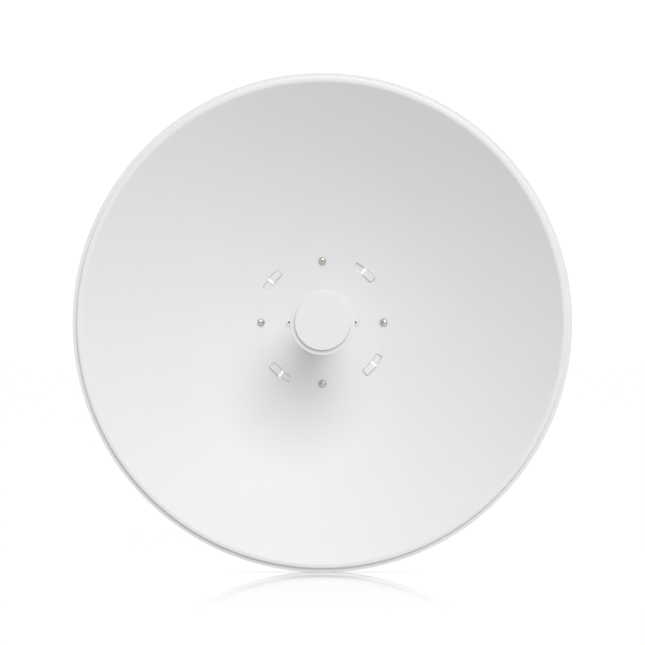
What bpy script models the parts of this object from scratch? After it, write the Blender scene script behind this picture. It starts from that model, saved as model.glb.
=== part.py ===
"""Parabolic dish antenna with a feed at its focus, on a tilting pole mount.

Metres, +Z up. The dish looks along -Y. The origin is on the flat face of the pole bracket
that looks at the pole. Run it with: blender --background --python part.py
"""

import math

import bmesh
import bpy
from mathutils import Euler, Matrix, Vector

# Reflector. Depths along the dish's axis are measured forwards from its vertex.
DISH_RADIUS = 0.325
APERTURE_RADIUS = 0.3122
FOCAL_LENGTH = 0.168
SHEET = 0.0016
LIP_RADIUS = 0.0060
LIP_EDGE = 0.3183
STEP_ANGLE = math.radians(78)
STEP_OUTER_RADIUS = 0.0017
STEP_INNER_RADIUS = 0.0008
STEP_WIDTH = 0.0004
SKIRT_RADIUS = 0.0017
SKIRT_END = 0.131
FEED_HOLE_RADIUS = 0.0285
DISH_STEPS = 48
HUB_STEPS = 40
FEED_STEPS = 32
SCREW_STEPS = 14
PARABOLA_STEPS = 13

# Clearance between pieces that touch.
GAP = 0.0003

# Pressed tabs round the centre: one half stands proud and the other lies sunk, with a slot between.
TAB_CIRCLE = 0.0893
TAB_FIRST_ANGLE = 51.2
TAB_WIDTH = 0.0092
TAB_SLOT = 0.0033
TAB_PROUD_LENGTH = 0.0160
TAB_SUNK_LENGTH = 0.0132
TAB_OFFSET = 0.0015
TAB_OVERLAP = 0.0008
TAB_CUT = 0.0120

# Fasteners through the reflector.
SCREW_CIRCLE = 0.0834
SCREW_RADIUS = 0.0025
SCREW_HEAD_RADIUS = 0.0051
SCREW_HEAD_HEIGHT = 0.0036
SCREW_HEAD_SIDE = 0.0008
RECESS_LENGTH = 0.0050
RECESS_WIDTH = 0.0011
RECESS_DEPTH = 0.0022
RIVET_CIRCLE = 0.0449
RIVET_HEAD_RADIUS = 0.0047
RIVET_HEAD_HEIGHT = 0.0014
RIVET_RADIUS = 0.0030
RIVET_BORE = 0.0021
RIVET_LENGTH = 0.0100

# Feed, from the socket behind the dish to the cap in front of it.
TUBE_RADIUS = 0.026
TUBE_REAR = -0.0500
TUBE_FRONT = 0.1380
TUBE_EDGE = 0.0015
HEAD_REAR = 0.1383
HEAD_NECK = 0.0270
HEAD_FLARE = ((0.0345, 0.1595), (0.0290, 0.1490))
HEAD_EDGE = 0.0015
HEAD_RADIUS = 0.0421
HEAD_FLANGE_REAR = 0.1675
HEAD_FRONT = 0.1757
CAP_RADIUS = 0.0356
CAP_FRONT = 0.1790
CAP_EDGE = 0.0006
COLLAR_RADIUS = 0.0380
COLLAR_HEIGHT = 0.0090
COLLAR_EDGE = 0.0040

# Cast hub behind the vertex, with four arms to the dish screws.
HUB_BORE = 0.0305
HUB_RADIUS = 0.0660
HUB_REAR = -0.0100
HUB_SHOULDER = 0.0670
ARM_ROOT = 0.0710
ARM_REACH = 0.0980
ARM_WIDTH = 0.0300
ARM_THICKNESS = 0.0100

# Feed socket.
SOCKET_RADIUS = 0.0350
SOCKET_REAR = -0.0600
SOCKET_FRONT = -0.0008
SOCKET_EDGE = 0.0040
PORT_WIDTH = 0.0320
PORT_FRONT = -0.0200
PORT_REAR = -0.0580
PORT_TOP = -0.0280
PORT_BOTTOM = -0.0420
COVER_MARGIN = 0.0020
COVER_THICKNESS = 0.0030
COVER_CORNER = 0.0040
GLAND_FLATS = 0.0160
GLAND_FLANGE = 0.0050
GLAND_RADIUS = 0.0070
GLAND_LENGTH = 0.0140
GLAND_EDGE = 0.0025
GLAND_BORE = 0.0035
GLAND_BORE_DEPTH = 0.0070

# Folded steel brackets.
STEEL = 0.0030
TRIM = 0.0100
BEND = 0.0060
YOKE_HALF_WIDTH = 0.0520
YOKE_HALF_HEIGHT = 0.0460
YOKE_REAR = -0.0980
YOKE_SHOULDER = -0.0220
YOKE_NECK = -0.0440
SOCKET_OPENING = 0.0365
EAR_HALF_HEIGHT = 0.0300
EAR_CORNER = 0.0100
POLE_FACE = -0.1120
WALL_FRONT = -0.0540
WELD_DEPTH = 0.0005
POLE_HALF_WIDTH = 0.0480
POLE_HALF_HEIGHT = 0.0450
JAW_DEPTH = 0.0280
JAW_GAP = 0.0680
NOTCH_POINT = 0.0040
NOTCH_HALF_WIDTH = 0.0360
NOTCH_DEPTH = 0.0245
NOTCH_TEETH = 6
TOOTH_DEPTH = 0.0015

# Bolts: across flats, height of the head, height of the nut and radius of the thread.
M8 = {"flats": 0.0130, "head": 0.0053, "nut": 0.0065, "radius": 0.0040}
M6 = {"flats": 0.0100, "head": 0.0040, "nut": 0.0050, "radius": 0.0030}
M5 = {"flats": 0.0080, "head": 0.0035, "nut": 0.0040, "radius": 0.0025}
THREAD_END = 0.0030
PIVOT_HEIGHT = 0.0180
PIVOT_DEPTH = -0.0720
TILT_RADIUS = 0.0380
TILT_TRAVEL = 18
YOKE_BOLT_X = 0.0390
YOKE_BOLT_Y = 0.0340
YOKE_BOLT_REACH = 0.0075
CLAMP_BOLT_X = 0.0340
CLAMP_BOLT_Y = 0.0200
CLAMP_HEAD_RADIUS = 0.0086
CLAMP_HEAD_HEIGHT = 0.0044
CLAMP_BOLT_END = -0.1965

# Half the length of a cutter that passes through everything.
THROUGH = 0.0700
BOLT_STEPS = 16

SMOOTH_ANGLE = math.radians(32)
WELD = 1e-6

for old in list(bpy.data.objects):
    bpy.data.objects.remove(old, do_unlink=True)

antenna = bpy.data.collections.new("parabolic_dish_antenna")
bpy.context.scene.collection.children.link(antenna)


def material(name, colour, roughness, metallic):
    made = bpy.data.materials.new(name)
    made.use_nodes = True
    shader = made.node_tree.nodes["Principled BSDF"]
    shader.inputs["Base Color"].default_value = (*colour, 1)
    shader.inputs["Roughness"].default_value = roughness
    shader.inputs["Metallic"].default_value = metallic
    return made


WHITE_PAINT = material("white_paint", (0.80, 0.81, 0.82), 0.45, 0.0)
WHITE_PLASTIC = material("white_plastic", (0.82, 0.83, 0.83), 0.40, 0.0)
CAST_METAL = material("cast_metal", (0.62, 0.63, 0.64), 0.50, 0.9)
GALVANISED = material("galvanised_steel", (0.58, 0.60, 0.61), 0.42, 1.0)
STAINLESS = material("stainless_steel", (0.62, 0.60, 0.57), 0.25, 1.0)
BLACK_PLASTIC = material("black_plastic", (0.03, 0.03, 0.032), 0.45, 0.0)

# The dish frame: X right, Y up and Z forwards from the vertex, as seen from in front of the dish.
dish_frame = bpy.data.objects.new("dish_frame", None)
antenna.objects.link(dish_frame)
dish_frame.rotation_euler = (math.radians(90), 0, 0)
dish_frame.location = (0, POLE_FACE, 0)


# Helpers that make plain solids. Each returns an object whose place is in its mesh.


def linked(name, mesh):
    obj = bpy.data.objects.new(name, mesh)
    antenna.objects.link(obj)
    return obj


def solid(obj):
    """The object's evaluated shape as one welded mesh, shaded smooth up to SMOOTH_ANGLE."""
    bpy.context.view_layer.update()
    graph = bpy.context.evaluated_depsgraph_get()
    mesh = bpy.data.meshes.new_from_object(obj.evaluated_get(graph))
    shape = bmesh.new()
    shape.from_mesh(mesh)
    bmesh.ops.remove_doubles(shape, verts=shape.verts, dist=WELD)
    shape.to_mesh(mesh)
    shape.free()
    mesh.shade_smooth()
    mesh.set_sharp_from_angle(angle=SMOOTH_ANGLE)
    name, matrix = obj.name, obj.matrix_world.copy()
    bpy.data.objects.remove(obj, do_unlink=True)
    made = linked(name, mesh)
    made.matrix_world = matrix
    return made


def turned(profile, steps, loop=False):
    """(radius, height) points turned round Z. A loop is a ring; otherwise both ends lie on the axis."""
    mesh = bpy.data.meshes.new("turned")
    edges = [(i, i + 1) for i in range(len(profile) - 1)]
    if loop:
        edges.append((len(profile) - 1, 0))
    mesh.from_pydata([(r, 0, z) for r, z in profile], edges, [])
    obj = linked("turned", mesh)
    screw = obj.modifiers.new("Turn", "SCREW")
    screw.axis = "Z"
    screw.steps = screw.render_steps = steps
    screw.use_merge_vertices = True
    screw.merge_threshold = WELD
    return solid(obj)


def moved(obj, location=(0, 0, 0), rotation=(0, 0, 0)):
    """Turns and moves the mesh itself, with the rotation in degrees."""
    angles = Euler([math.radians(a) for a in rotation])
    obj.data.transform(Matrix.Translation(location) @ angles.to_matrix().to_4x4())
    return obj


def prism(outlines, depth):
    """Flat outlines in XY, the first one's holes after it, made depth thick about Z = 0."""
    curve = bpy.data.curves.new("outline", "CURVE")
    curve.dimensions = "2D"
    curve.fill_mode = "BOTH"
    curve.extrude = depth / 2
    for points in outlines:
        spline = curve.splines.new("POLY")
        spline.points.add(len(points) - 1)
        for point, (x, y) in zip(spline.points, points):
            point.co = (x, y, 0, 1)
        spline.use_cyclic_u = True
    return solid(linked("outline", curve))


def across(obj):
    """Stands a prism so that its outline's X and Y run along the dish frame's X and Z."""
    return moved(obj, rotation=(90, 0, 0))


def sideways(obj):
    """Stands a prism so that its outline's X and Y run along the dish frame's Z and Y."""
    return moved(obj, rotation=(0, -90, 0))


def block(size, centre=(0, 0, 0)):
    mesh = bpy.data.meshes.new("block")
    shape = bmesh.new()
    place = Matrix.Translation(centre) @ Matrix.Diagonal((*size, 1))
    bmesh.ops.create_cube(shape, size=1, matrix=place)
    shape.to_mesh(mesh)
    shape.free()
    return linked("block", mesh)


def rod(radius, low, high, steps=BOLT_STEPS):
    mesh = bpy.data.meshes.new("rod")
    shape = bmesh.new()
    bmesh.ops.create_cone(
        shape,
        cap_ends=True,
        segments=steps,
        radius1=radius,
        radius2=radius,
        depth=high - low,
        matrix=Matrix.Translation((0, 0, (low + high) / 2)),
    )
    shape.to_mesh(mesh)
    shape.free()
    return linked("rod", mesh)


def combined(base, operation, tools):
    """One Boolean for each tool; the tools are used up."""
    for tool in tools:
        step = base.modifiers.new("Combine", "BOOLEAN")
        step.operation = operation
        step.solver = "EXACT"
        step.object = tool
    made = solid(base)
    for tool in tools:
        bpy.data.objects.remove(tool, do_unlink=True)
    return made


def add_piece(name, obj, finish, place=None):
    """Names a finished solid and hangs it on the dish frame at place."""
    obj.name = name
    obj.data.materials.clear()
    obj.data.materials.append(finish)
    obj.parent = dish_frame
    obj.matrix_basis = place or Matrix.Identity(4)
    return obj


def add_copies(names, obj, finish, places):
    """The first name takes the solid; the others are objects of their own that share its mesh."""
    add_piece(names[0], obj, finish, places[0])
    for name, place in zip(names[1:], places[1:]):
        add_piece(name, linked(name, obj.data), finish, place)


# Outlines.


def arc(centre, radius, start, end, steps):
    """Points on an arc in degrees, both ends included."""
    angles = [math.radians(start + (end - start) * i / steps) for i in range(steps + 1)]
    return [(centre[0] + radius * math.cos(a), centre[1] + radius * math.sin(a)) for a in angles]


def circle(centre, radius, steps=BOLT_STEPS):
    return arc(centre, radius, 0, 360 - 360 / steps, steps - 1)


def hexagon(flats):
    return circle((0, 0), flats / math.sqrt(3), 6)


def offset_path(path, distance):
    """The path moved sideways, to the right of its direction, with mitred corners."""
    points = [Vector(p) for p in path]
    sides = []
    for a, b in zip(points, points[1:]):
        along = (b - a).normalized()
        sides.append(Vector((along.y, -along.x)))
    found = []
    for i, point in enumerate(points):
        before = sides[max(i - 1, 0)]
        after = sides[min(i, len(sides) - 1)]
        middle = (before + after).normalized()
        found.append(tuple(point + middle * (distance / middle.dot(after))))
    return found


def bent_strip(path, thickness):
    """A closed outline round a path, as a strip of sheet seen edge on."""
    return path + offset_path(path, thickness)[::-1]


# The reflector's surface.


def surface(radius):
    return radius * radius / (4 * FOCAL_LENGTH)


def slope(radius):
    return math.atan(radius / (2 * FOCAL_LENGTH))


def on_surface(radius, angle, turn=0.0):
    """A place on the reflector's front, with Z out of the surface and Y along the circle."""
    tilt = slope(radius)
    stand = Matrix.Translation((radius, 0, surface(radius))) @ Matrix.Rotation(-tilt, 4, "Y")
    return Matrix.Rotation(math.radians(angle), 4, "Z") @ stand @ Matrix.Rotation(turn, 4, "Z")


def turn_path(path, heading, radius, new_heading, steps):
    """Adds an arc to a path that heads one way and leaves it heading another. Returns the new heading."""
    side = -1 if new_heading < heading else 1
    start = Vector(path[-1])
    centre = start + side * radius * Vector((-math.sin(heading), math.cos(heading)))
    for i in range(1, steps + 1):
        angle = heading + (new_heading - heading) * i / steps
        point = centre - side * radius * Vector((-math.sin(angle), math.cos(angle)))
        path.append(tuple(point))
    return new_heading


def rim_path():
    """The front of the rim: rolled lip, step, outer flange and turned-back skirt."""
    path = [(APERTURE_RADIUS, surface(APERTURE_RADIUS))]
    heading = turn_path(path, slope(APERTURE_RADIUS), LIP_RADIUS, 0.0, 2)
    path.append((LIP_EDGE, path[-1][1]))
    heading = turn_path(path, heading, STEP_OUTER_RADIUS, -STEP_ANGLE, 2)
    foot = Vector(path[-1]) + Vector((STEP_WIDTH, -STEP_WIDTH * math.tan(STEP_ANGLE)))
    path.append(tuple(foot))
    heading = turn_path(path, heading, STEP_INNER_RADIUS, 0.0, 1)
    path.append((DISH_RADIUS - SKIRT_RADIUS, path[-1][1]))
    turn_path(path, heading, SKIRT_RADIUS, math.radians(-90), 2)
    path.append((DISH_RADIUS, SKIRT_END))
    return path


def dish_front():
    span = APERTURE_RADIUS - FEED_HOLE_RADIUS
    radii = [FEED_HOLE_RADIUS + span * i / PARABOLA_STEPS for i in range(PARABOLA_STEPS)]
    return [(r, surface(r)) for r in radii] + rim_path()


TAB_ANGLES = [TAB_FIRST_ANGLE + 90 * i for i in range(4)]
SCREW_ANGLES = {"top": 90, "right": 0, "bottom": 270, "left": 180}
RIVET_ANGLES = {"left": 180, "right": 0}


def tab_half(angle, length, side):
    """Window cutter and pressed plate for one half of a tab. side is -1 for proud and 1 for sunk."""
    share = side * (TAB_SLOT + length) / 2 / TAB_CIRCLE
    place = on_surface(TAB_CIRCLE, angle + math.degrees(share))
    inner = -side * TAB_SLOT / 4
    reach = length + TAB_SLOT / 2
    window = block((TAB_WIDTH - 2 * TAB_OVERLAP, reach - 2 * TAB_OVERLAP, TAB_CUT), (0, inner, 0))
    height = -side * TAB_OFFSET - SHEET / 2
    plate = block((TAB_WIDTH, reach, SHEET), (0, inner, height))
    window.data.transform(place)
    plate.data.transform(place)
    return window, plate


def tab_slot(angle):
    slot = block((TAB_WIDTH, TAB_SLOT, TAB_CUT))
    slot.data.transform(on_surface(TAB_CIRCLE, angle))
    return slot


def drilled(radius, place):
    hole = rod(radius, -THROUGH / 2, THROUGH / 2)
    hole.data.transform(place)
    return hole


def build_reflector():
    front = dish_front()
    dish = turned(front + offset_path(front, SHEET)[::-1], DISH_STEPS, loop=True)
    halves = []
    for angle in TAB_ANGLES:
        halves.append(tab_half(angle, TAB_PROUD_LENGTH, -1))
        halves.append(tab_half(angle, TAB_SUNK_LENGTH, 1))
    dish = combined(dish, "DIFFERENCE", [window for window, _ in halves])
    dish = combined(dish, "UNION", [plate for _, plate in halves])
    holes = [tab_slot(angle) for angle in TAB_ANGLES]
    for angle in SCREW_ANGLES.values():
        holes.append(drilled(SCREW_RADIUS + GAP, on_surface(SCREW_CIRCLE, angle)))
    for angle in RIVET_ANGLES.values():
        holes.append(drilled(RIVET_RADIUS + GAP, on_surface(RIVET_CIRCLE, angle)))
    dish = combined(dish, "DIFFERENCE", holes)
    add_piece("reflector", dish, WHITE_PAINT)


def dome(radius, height, steps):
    """The outline of a low dome from its crown to its rim, on a ball of the right radius."""
    ball = (radius * radius + height * height) / (2 * height)
    reach = math.asin(radius / ball)
    angles = [reach * i / steps for i in range(steps + 1)]
    return [(ball * math.sin(a), height - ball * (1 - math.cos(a))) for a in angles]


def build_dish_screws():
    """Pan-head screws with a cross recess, each held by a nut behind its arm."""
    seat = SCREW_HEAD_SIDE + GAP
    crown = dome(SCREW_HEAD_RADIUS, SCREW_HEAD_HEIGHT - SCREW_HEAD_SIDE, 3)
    crown = [(r, z + seat) for r, z in crown]
    length = SHEET + ARM_THICKNESS + M5["nut"] + THREAD_END
    shank = [(SCREW_HEAD_RADIUS, GAP), (SCREW_RADIUS, GAP), (SCREW_RADIUS, -length), (0, -length)]
    screw = turned(crown + shank, SCREW_STEPS)
    top = (0, 0, SCREW_HEAD_HEIGHT + GAP)
    bars = ((RECESS_LENGTH, RECESS_WIDTH), (RECESS_WIDTH, RECESS_LENGTH))
    recess = [block((x, y, 2 * RECESS_DEPTH), top) for x, y in bars]
    screw = combined(screw, "DIFFERENCE", recess)
    places = [on_surface(SCREW_CIRCLE, angle) for angle in SCREW_ANGLES.values()]
    add_copies([f"dish_screw_{side}" for side in SCREW_ANGLES], screw, STAINLESS, places)
    nut = nut_of(M5)
    seat = -(SHEET + GAP + ARM_THICKNESS + GAP + M5["nut"])
    places = [place @ Matrix.Translation((0, 0, seat)) for place in places]
    add_copies([f"arm_nut_{side}" for side in SCREW_ANGLES], nut, STAINLESS, places)


def build_hub_rivets():
    """Hollow rivets beside the feed that hold the hub to the dish."""
    crown = [(r, z + GAP) for r, z in dome(RIVET_HEAD_RADIUS, RIVET_HEAD_HEIGHT, 4)]
    crown = [(RIVET_BORE, RIVET_HEAD_HEIGHT + GAP)] + [p for p in crown if p[0] > RIVET_BORE]
    shank = [(RIVET_RADIUS, GAP), (RIVET_RADIUS, -RIVET_LENGTH), (RIVET_BORE, -RIVET_LENGTH)]
    rivet = turned(crown + shank, SCREW_STEPS, loop=True)
    places = [on_surface(RIVET_CIRCLE, angle) for angle in RIVET_ANGLES.values()]
    add_copies([f"hub_rivet_{side}" for side in RIVET_ANGLES], rivet, WHITE_PAINT, places)


# Feed.


def build_feed_tube():
    foot = [(TUBE_RADIUS, TUBE_REAR + TUBE_EDGE), (TUBE_RADIUS - TUBE_EDGE, TUBE_REAR)]
    outline = [(0, TUBE_FRONT), (TUBE_RADIUS, TUBE_FRONT), *foot, (0, TUBE_REAR)]
    add_piece("feed_tube", turned(outline, FEED_STEPS), WHITE_PLASTIC)


def build_feed_collar():
    """Moulded ring that closes the hole in the dish round the tube."""
    bore = TUBE_RADIUS + GAP
    crown = arc((COLLAR_RADIUS - COLLAR_EDGE, COLLAR_HEIGHT - COLLAR_EDGE), COLLAR_EDGE, 90, 0, 3)
    seat = [(r, surface(r) + GAP) for r in (COLLAR_RADIUS, (COLLAR_RADIUS + bore) / 2, bore)]
    collar = turned([(bore, COLLAR_HEIGHT), *crown, *seat], FEED_STEPS, loop=True)
    add_piece("feed_collar", collar, WHITE_PLASTIC)


def build_feed_head():
    """Flared head that carries the sub-reflector, with a flange behind the cap."""
    inner = HEAD_RADIUS - HEAD_EDGE
    flange = arc((inner, HEAD_FRONT - HEAD_EDGE), HEAD_EDGE, 90, 0, 3)
    flange += arc((inner, HEAD_FLANGE_REAR + HEAD_EDGE), HEAD_EDGE, 0, -90, 2)
    outline = [(0, HEAD_FRONT), *flange, *HEAD_FLARE, (HEAD_NECK, HEAD_REAR), (0, HEAD_REAR)]
    add_piece("feed_head", turned(outline, FEED_STEPS), WHITE_PLASTIC)


def build_feed_cap():
    seat = HEAD_FRONT + GAP
    rounded = arc((CAP_RADIUS - CAP_EDGE, CAP_FRONT - CAP_EDGE), CAP_EDGE, 90, 0, 3)
    outline = [(0, CAP_FRONT), *rounded, (CAP_RADIUS, seat), (0, seat)]
    add_piece("feed_cap", turned(outline, FEED_STEPS), WHITE_PLASTIC)


# Hub and feed socket.


def arm_outline():
    """The hub's disc with its four round-ended arms."""
    half = ARM_WIDTH / 2
    foot = math.degrees(math.asin(half / HUB_RADIUS))
    points = []
    for quarter in range(4):
        turn = Matrix.Rotation(math.radians(90 * quarter), 2)
        tip = arc((ARM_REACH - half, 0), half, -90, 90, 8)
        disc = arc((0, 0), HUB_RADIUS, foot, 90 - foot, 8)
        points += [tuple(turn @ Vector(p)) for p in tip + disc]
    return points


def build_hub():
    """Casting that follows the dish's rear, with arms that slope as the dish does."""
    radii = [HUB_BORE + (ARM_REACH - HUB_BORE) * i / 4 for i in range(5)]
    front = offset_path([(r, surface(r)) for r in radii], SHEET + GAP)
    tilt = slope(SCREW_CIRCLE)
    depth = SHEET + GAP + ARM_THICKNESS
    seat = (SCREW_CIRCLE + depth * math.sin(tilt), surface(SCREW_CIRCLE) - depth * math.cos(tilt))

    def rear(radius):
        return seat[1] + (radius - seat[0]) * math.tan(tilt)

    back = [(ARM_REACH + STEEL, rear(ARM_REACH + STEEL)), (ARM_ROOT, rear(ARM_ROOT))]
    back += [(HUB_SHOULDER, HUB_REAR), (HUB_BORE, HUB_REAR)]
    body = turned([*front, (back[0][0], front[-1][1]), *back], HUB_STEPS, loop=True)
    hub = combined(body, "INTERSECT", [prism([arm_outline()], 2 * THROUGH)])
    holes = [drilled(SCREW_RADIUS + GAP, on_surface(SCREW_CIRCLE, a)) for a in SCREW_ANGLES.values()]
    holes += [drilled(RIVET_RADIUS + GAP, on_surface(RIVET_CIRCLE, a)) for a in RIVET_ANGLES.values()]
    bolts = grid_places(YOKE_BOLT_X, YOKE_BOLT_Y).values()
    tapped = HUB_REAR + YOKE_BOLT_REACH + GAP
    holes += holes_along_depth(M6["radius"] + GAP, bolts, HUB_REAR - STEEL, tapped)
    add_piece("rear_hub", combined(hub, "DIFFERENCE", holes), CAST_METAL)


def build_socket():
    """Socket that holds the rear of the feed, with a port box under it."""
    neck = HUB_BORE - GAP
    bore = TUBE_RADIUS + GAP
    floor = TUBE_REAR - GAP
    shoulder = HUB_REAR - GAP
    rounded = arc((SOCKET_RADIUS - SOCKET_EDGE, SOCKET_REAR + SOCKET_EDGE), SOCKET_EDGE, 0, -90, 3)
    inside = [(0, floor), (bore, floor), (bore, SOCKET_FRONT)]
    outside = [(neck, SOCKET_FRONT), (neck, shoulder), (SOCKET_RADIUS, shoulder), *rounded]
    socket = turned([*inside, *outside, (0, SOCKET_REAR)], FEED_STEPS)
    size = (PORT_WIDTH, PORT_TOP - PORT_BOTTOM, PORT_FRONT - PORT_REAR)
    centre = (0, (PORT_TOP + PORT_BOTTOM) / 2, (PORT_FRONT + PORT_REAR) / 2)
    add_piece("feed_socket", combined(socket, "UNION", [block(size, centre)]), WHITE_PLASTIC)


def build_port_cover():
    """Lid over the port, with a blanked cable gland in it."""
    half_width = PORT_WIDTH / 2 - COVER_MARGIN
    half_length = (PORT_FRONT - PORT_REAR) / 2 - COVER_MARGIN
    centre = (PORT_FRONT + PORT_REAR) / 2
    top = PORT_BOTTOM - GAP
    cover = prism([rounded_box(half_width, half_length, COVER_CORNER)], COVER_THICKNESS)
    cover = moved(across(cover), (0, top - COVER_THICKNESS / 2, centre))
    add_piece("port_cover", cover, WHITE_PLASTIC)
    flange = moved(prism([hexagon(GLAND_FLATS)], GLAND_FLANGE), (0, 0, GLAND_FLANGE / 2))
    crown = [(0, GLAND_LENGTH), (GLAND_RADIUS - GLAND_EDGE, GLAND_LENGTH)]
    crown += [(GLAND_RADIUS, GLAND_LENGTH - GLAND_EDGE), (GLAND_RADIUS, GLAND_EDGE), (0, GLAND_EDGE)]
    gland = combined(flange, "UNION", [turned(crown, FEED_STEPS)])
    bore = rod(GLAND_BORE, GLAND_LENGTH - GLAND_BORE_DEPTH, GLAND_LENGTH + GLAND_EDGE)
    gland = combined(gland, "DIFFERENCE", [bore])
    seat = Matrix.Translation((0, top - COVER_THICKNESS - GAP, centre))
    place = seat @ Matrix.Rotation(math.radians(90), 4, "X")
    add_piece("cable_gland", gland, BLACK_PLASTIC, place)


# Nuts and bolts stand on Z = 0, with a bolt's head above it and its shank below.


def nut_of(size):
    nut = prism([hexagon(size["flats"]), circle((0, 0), size["radius"] + GAP)], size["nut"])
    return moved(nut, (0, 0, size["nut"] / 2))


def bolt_of(size, length):
    head = moved(prism([hexagon(size["flats"])], size["head"]), (0, 0, size["head"] / 2 + GAP))
    return combined(head, "UNION", [rod(size["radius"], -length, size["head"] / 2)])


# Folded steel.


def rounded_box(half_x, half_y, radius):
    points = []
    for quarter, (x, y) in enumerate(((1, 1), (-1, 1), (-1, -1), (1, -1))):
        centre = (x * (half_x - radius), y * (half_y - radius))
        points += arc(centre, radius, 90 * quarter, 90 * quarter + 90, 4)
    return points


def channel(half_width, depth, length):
    """A folded channel along Y, with the outside of its web on Z = 0 and its walls towards +Z."""
    left = arc((-half_width + BEND, BEND), BEND, 180, 270, 3)
    right = arc((half_width - BEND, BEND), BEND, 270, 360, 3)
    path = [(-half_width, depth), *left, *right, (half_width, depth)]
    return across(prism([bent_strip(path, -STEEL)], length))


def notch():
    """Toothed V for the pole, along Y, with its point at Z = 0 and its mouth towards +Z."""
    edge = Vector((NOTCH_HALF_WIDTH, NOTCH_DEPTH))
    valley = Vector((edge.y, -edge.x)).normalized() * TOOTH_DEPTH
    side = []
    for tooth in range(NOTCH_TEETH):
        side.append(edge * ((tooth + 0.5) / NOTCH_TEETH) + valley)
        side.append(edge * ((tooth + 1) / NOTCH_TEETH))
    side.append(edge + Vector((0, JAW_DEPTH)))
    right = [tuple(point) for point in side]
    left = [(-x, z) for x, z in right[::-1]]
    return across(prism([[(0, 0), *right, *left]], 2 * THROUGH))


def notched_channel():
    """The clamp's channel, with walls above and below that are notched for the pole."""
    walls = moved(channel(POLE_HALF_HEIGHT, JAW_DEPTH, 2 * POLE_HALF_WIDTH), rotation=(0, 0, 90))
    return combined(walls, "DIFFERENCE", [moved(notch(), (0, 0, NOTCH_POINT))])


def grid_places(x, y):
    """The places of four bolts about the dish's axis, by name."""
    sides = {"upper_right": (1, 1), "upper_left": (-1, 1), "lower_left": (-1, -1), "lower_right": (1, -1)}
    return {name: (x * across_sign, y * up_sign) for name, (across_sign, up_sign) in sides.items()}


def holes_along_depth(radius, places, low, high):
    return [moved(rod(radius, low, high), (x, y, 0)) for x, y in places]


def side_hole(radius, height, depth):
    return moved(rod(radius, -THROUGH, THROUGH), (0, height, depth), (0, 90, 0))


def tilt_slot():
    """Curved slot round the pivot, through both ears."""
    radius = M8["radius"] + GAP
    low, high = -90 - TILT_TRAVEL, -90 + TILT_TRAVEL
    pivot = (PIVOT_DEPTH, PIVOT_HEIGHT)
    outer = arc(pivot, TILT_RADIUS + radius, low, high, 6)
    inner = arc(pivot, TILT_RADIUS - radius, high, low, 6)
    first, last = arc(pivot, TILT_RADIUS, low, high, 1)
    far_end = arc(last, radius, high, high + 180, 5)[1:-1]
    near_end = arc(first, radius, low + 180, low + 360, 5)[1:-1]
    return sideways(prism([outer + far_end + inner + near_end], 2 * THROUGH))


def build_yoke():
    """Folded plate behind the hub, with an ear on each side that tilts on the pole bracket."""
    front = HUB_REAR - GAP
    yoke = channel(YOKE_HALF_WIDTH, front - YOKE_REAR + TRIM, 2 * (YOKE_HALF_HEIGHT + TRIM))
    yoke = moved(yoke, (0, 0, front), (0, 180, 0))
    corner = (YOKE_REAR + EAR_CORNER, EAR_HALF_HEIGHT - EAR_CORNER)
    upper = [(0, YOKE_HALF_HEIGHT), (YOKE_SHOULDER, YOKE_HALF_HEIGHT), (YOKE_NECK, EAR_HALF_HEIGHT)]
    upper += arc(corner, EAR_CORNER, 90, 180, 4)
    lower = [(z, -y) for z, y in upper[::-1]]
    yoke = combined(yoke, "INTERSECT", [sideways(prism([upper + lower], 2 * THROUGH))])
    holes = [rod(SOCKET_OPENING, front - 2 * STEEL, front + STEEL, FEED_STEPS), tilt_slot()]
    holes.append(side_hole(M8["radius"] + GAP, PIVOT_HEIGHT, PIVOT_DEPTH))
    bolts = grid_places(YOKE_BOLT_X, YOKE_BOLT_Y)
    holes += holes_along_depth(M6["radius"] + GAP, bolts.values(), front - 2 * STEEL, front + STEEL)
    add_piece("yoke", combined(yoke, "DIFFERENCE", holes), GALVANISED)
    seat = front - STEEL
    bolt = bolt_of(M6, STEEL + GAP + YOKE_BOLT_REACH)
    turn = Matrix.Rotation(math.radians(180), 4, "X")
    places = [Matrix.Translation((x, y, seat)) @ turn for x, y in bolts.values()]
    add_copies([f"yoke_bolt_{corner}" for corner in bolts], bolt, STAINLESS, places)


def build_pole_bracket():
    """Two folded channels welded back to back: walls for the ears, and a notched clamp for the pole."""
    back = moved(notched_channel(), (0, 0, POLE_FACE + STEEL), (0, 180, 0))
    web = POLE_FACE + STEEL - WELD_DEPTH
    walls = channel(YOKE_HALF_WIDTH - STEEL - GAP, WALL_FRONT - web + TRIM, 2 * (EAR_HALF_HEIGHT + TRIM))
    walls = moved(walls, (0, 0, web))
    corner = (WALL_FRONT - EAR_CORNER, EAR_HALF_HEIGHT - EAR_CORNER)
    upper = [(POLE_FACE, EAR_HALF_HEIGHT), *arc(corner, EAR_CORNER, 90, 0, 4)]
    lower = [(z, -y) for z, y in upper[::-1]]
    walls = combined(walls, "INTERSECT", [sideways(prism([upper + lower], 2 * THROUGH))])
    bracket = combined(walls, "UNION", [back])
    bolts = grid_places(CLAMP_BOLT_X, CLAMP_BOLT_Y).values()
    holes = holes_along_depth(M8["radius"] + GAP, bolts, POLE_FACE - TRIM, POLE_FACE + TRIM)
    for height in (PIVOT_HEIGHT, PIVOT_HEIGHT - TILT_RADIUS):
        holes.append(side_hole(M8["radius"] + GAP, height, PIVOT_DEPTH))
    add_piece("pole_bracket", combined(bracket, "DIFFERENCE", holes), GALVANISED)


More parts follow.
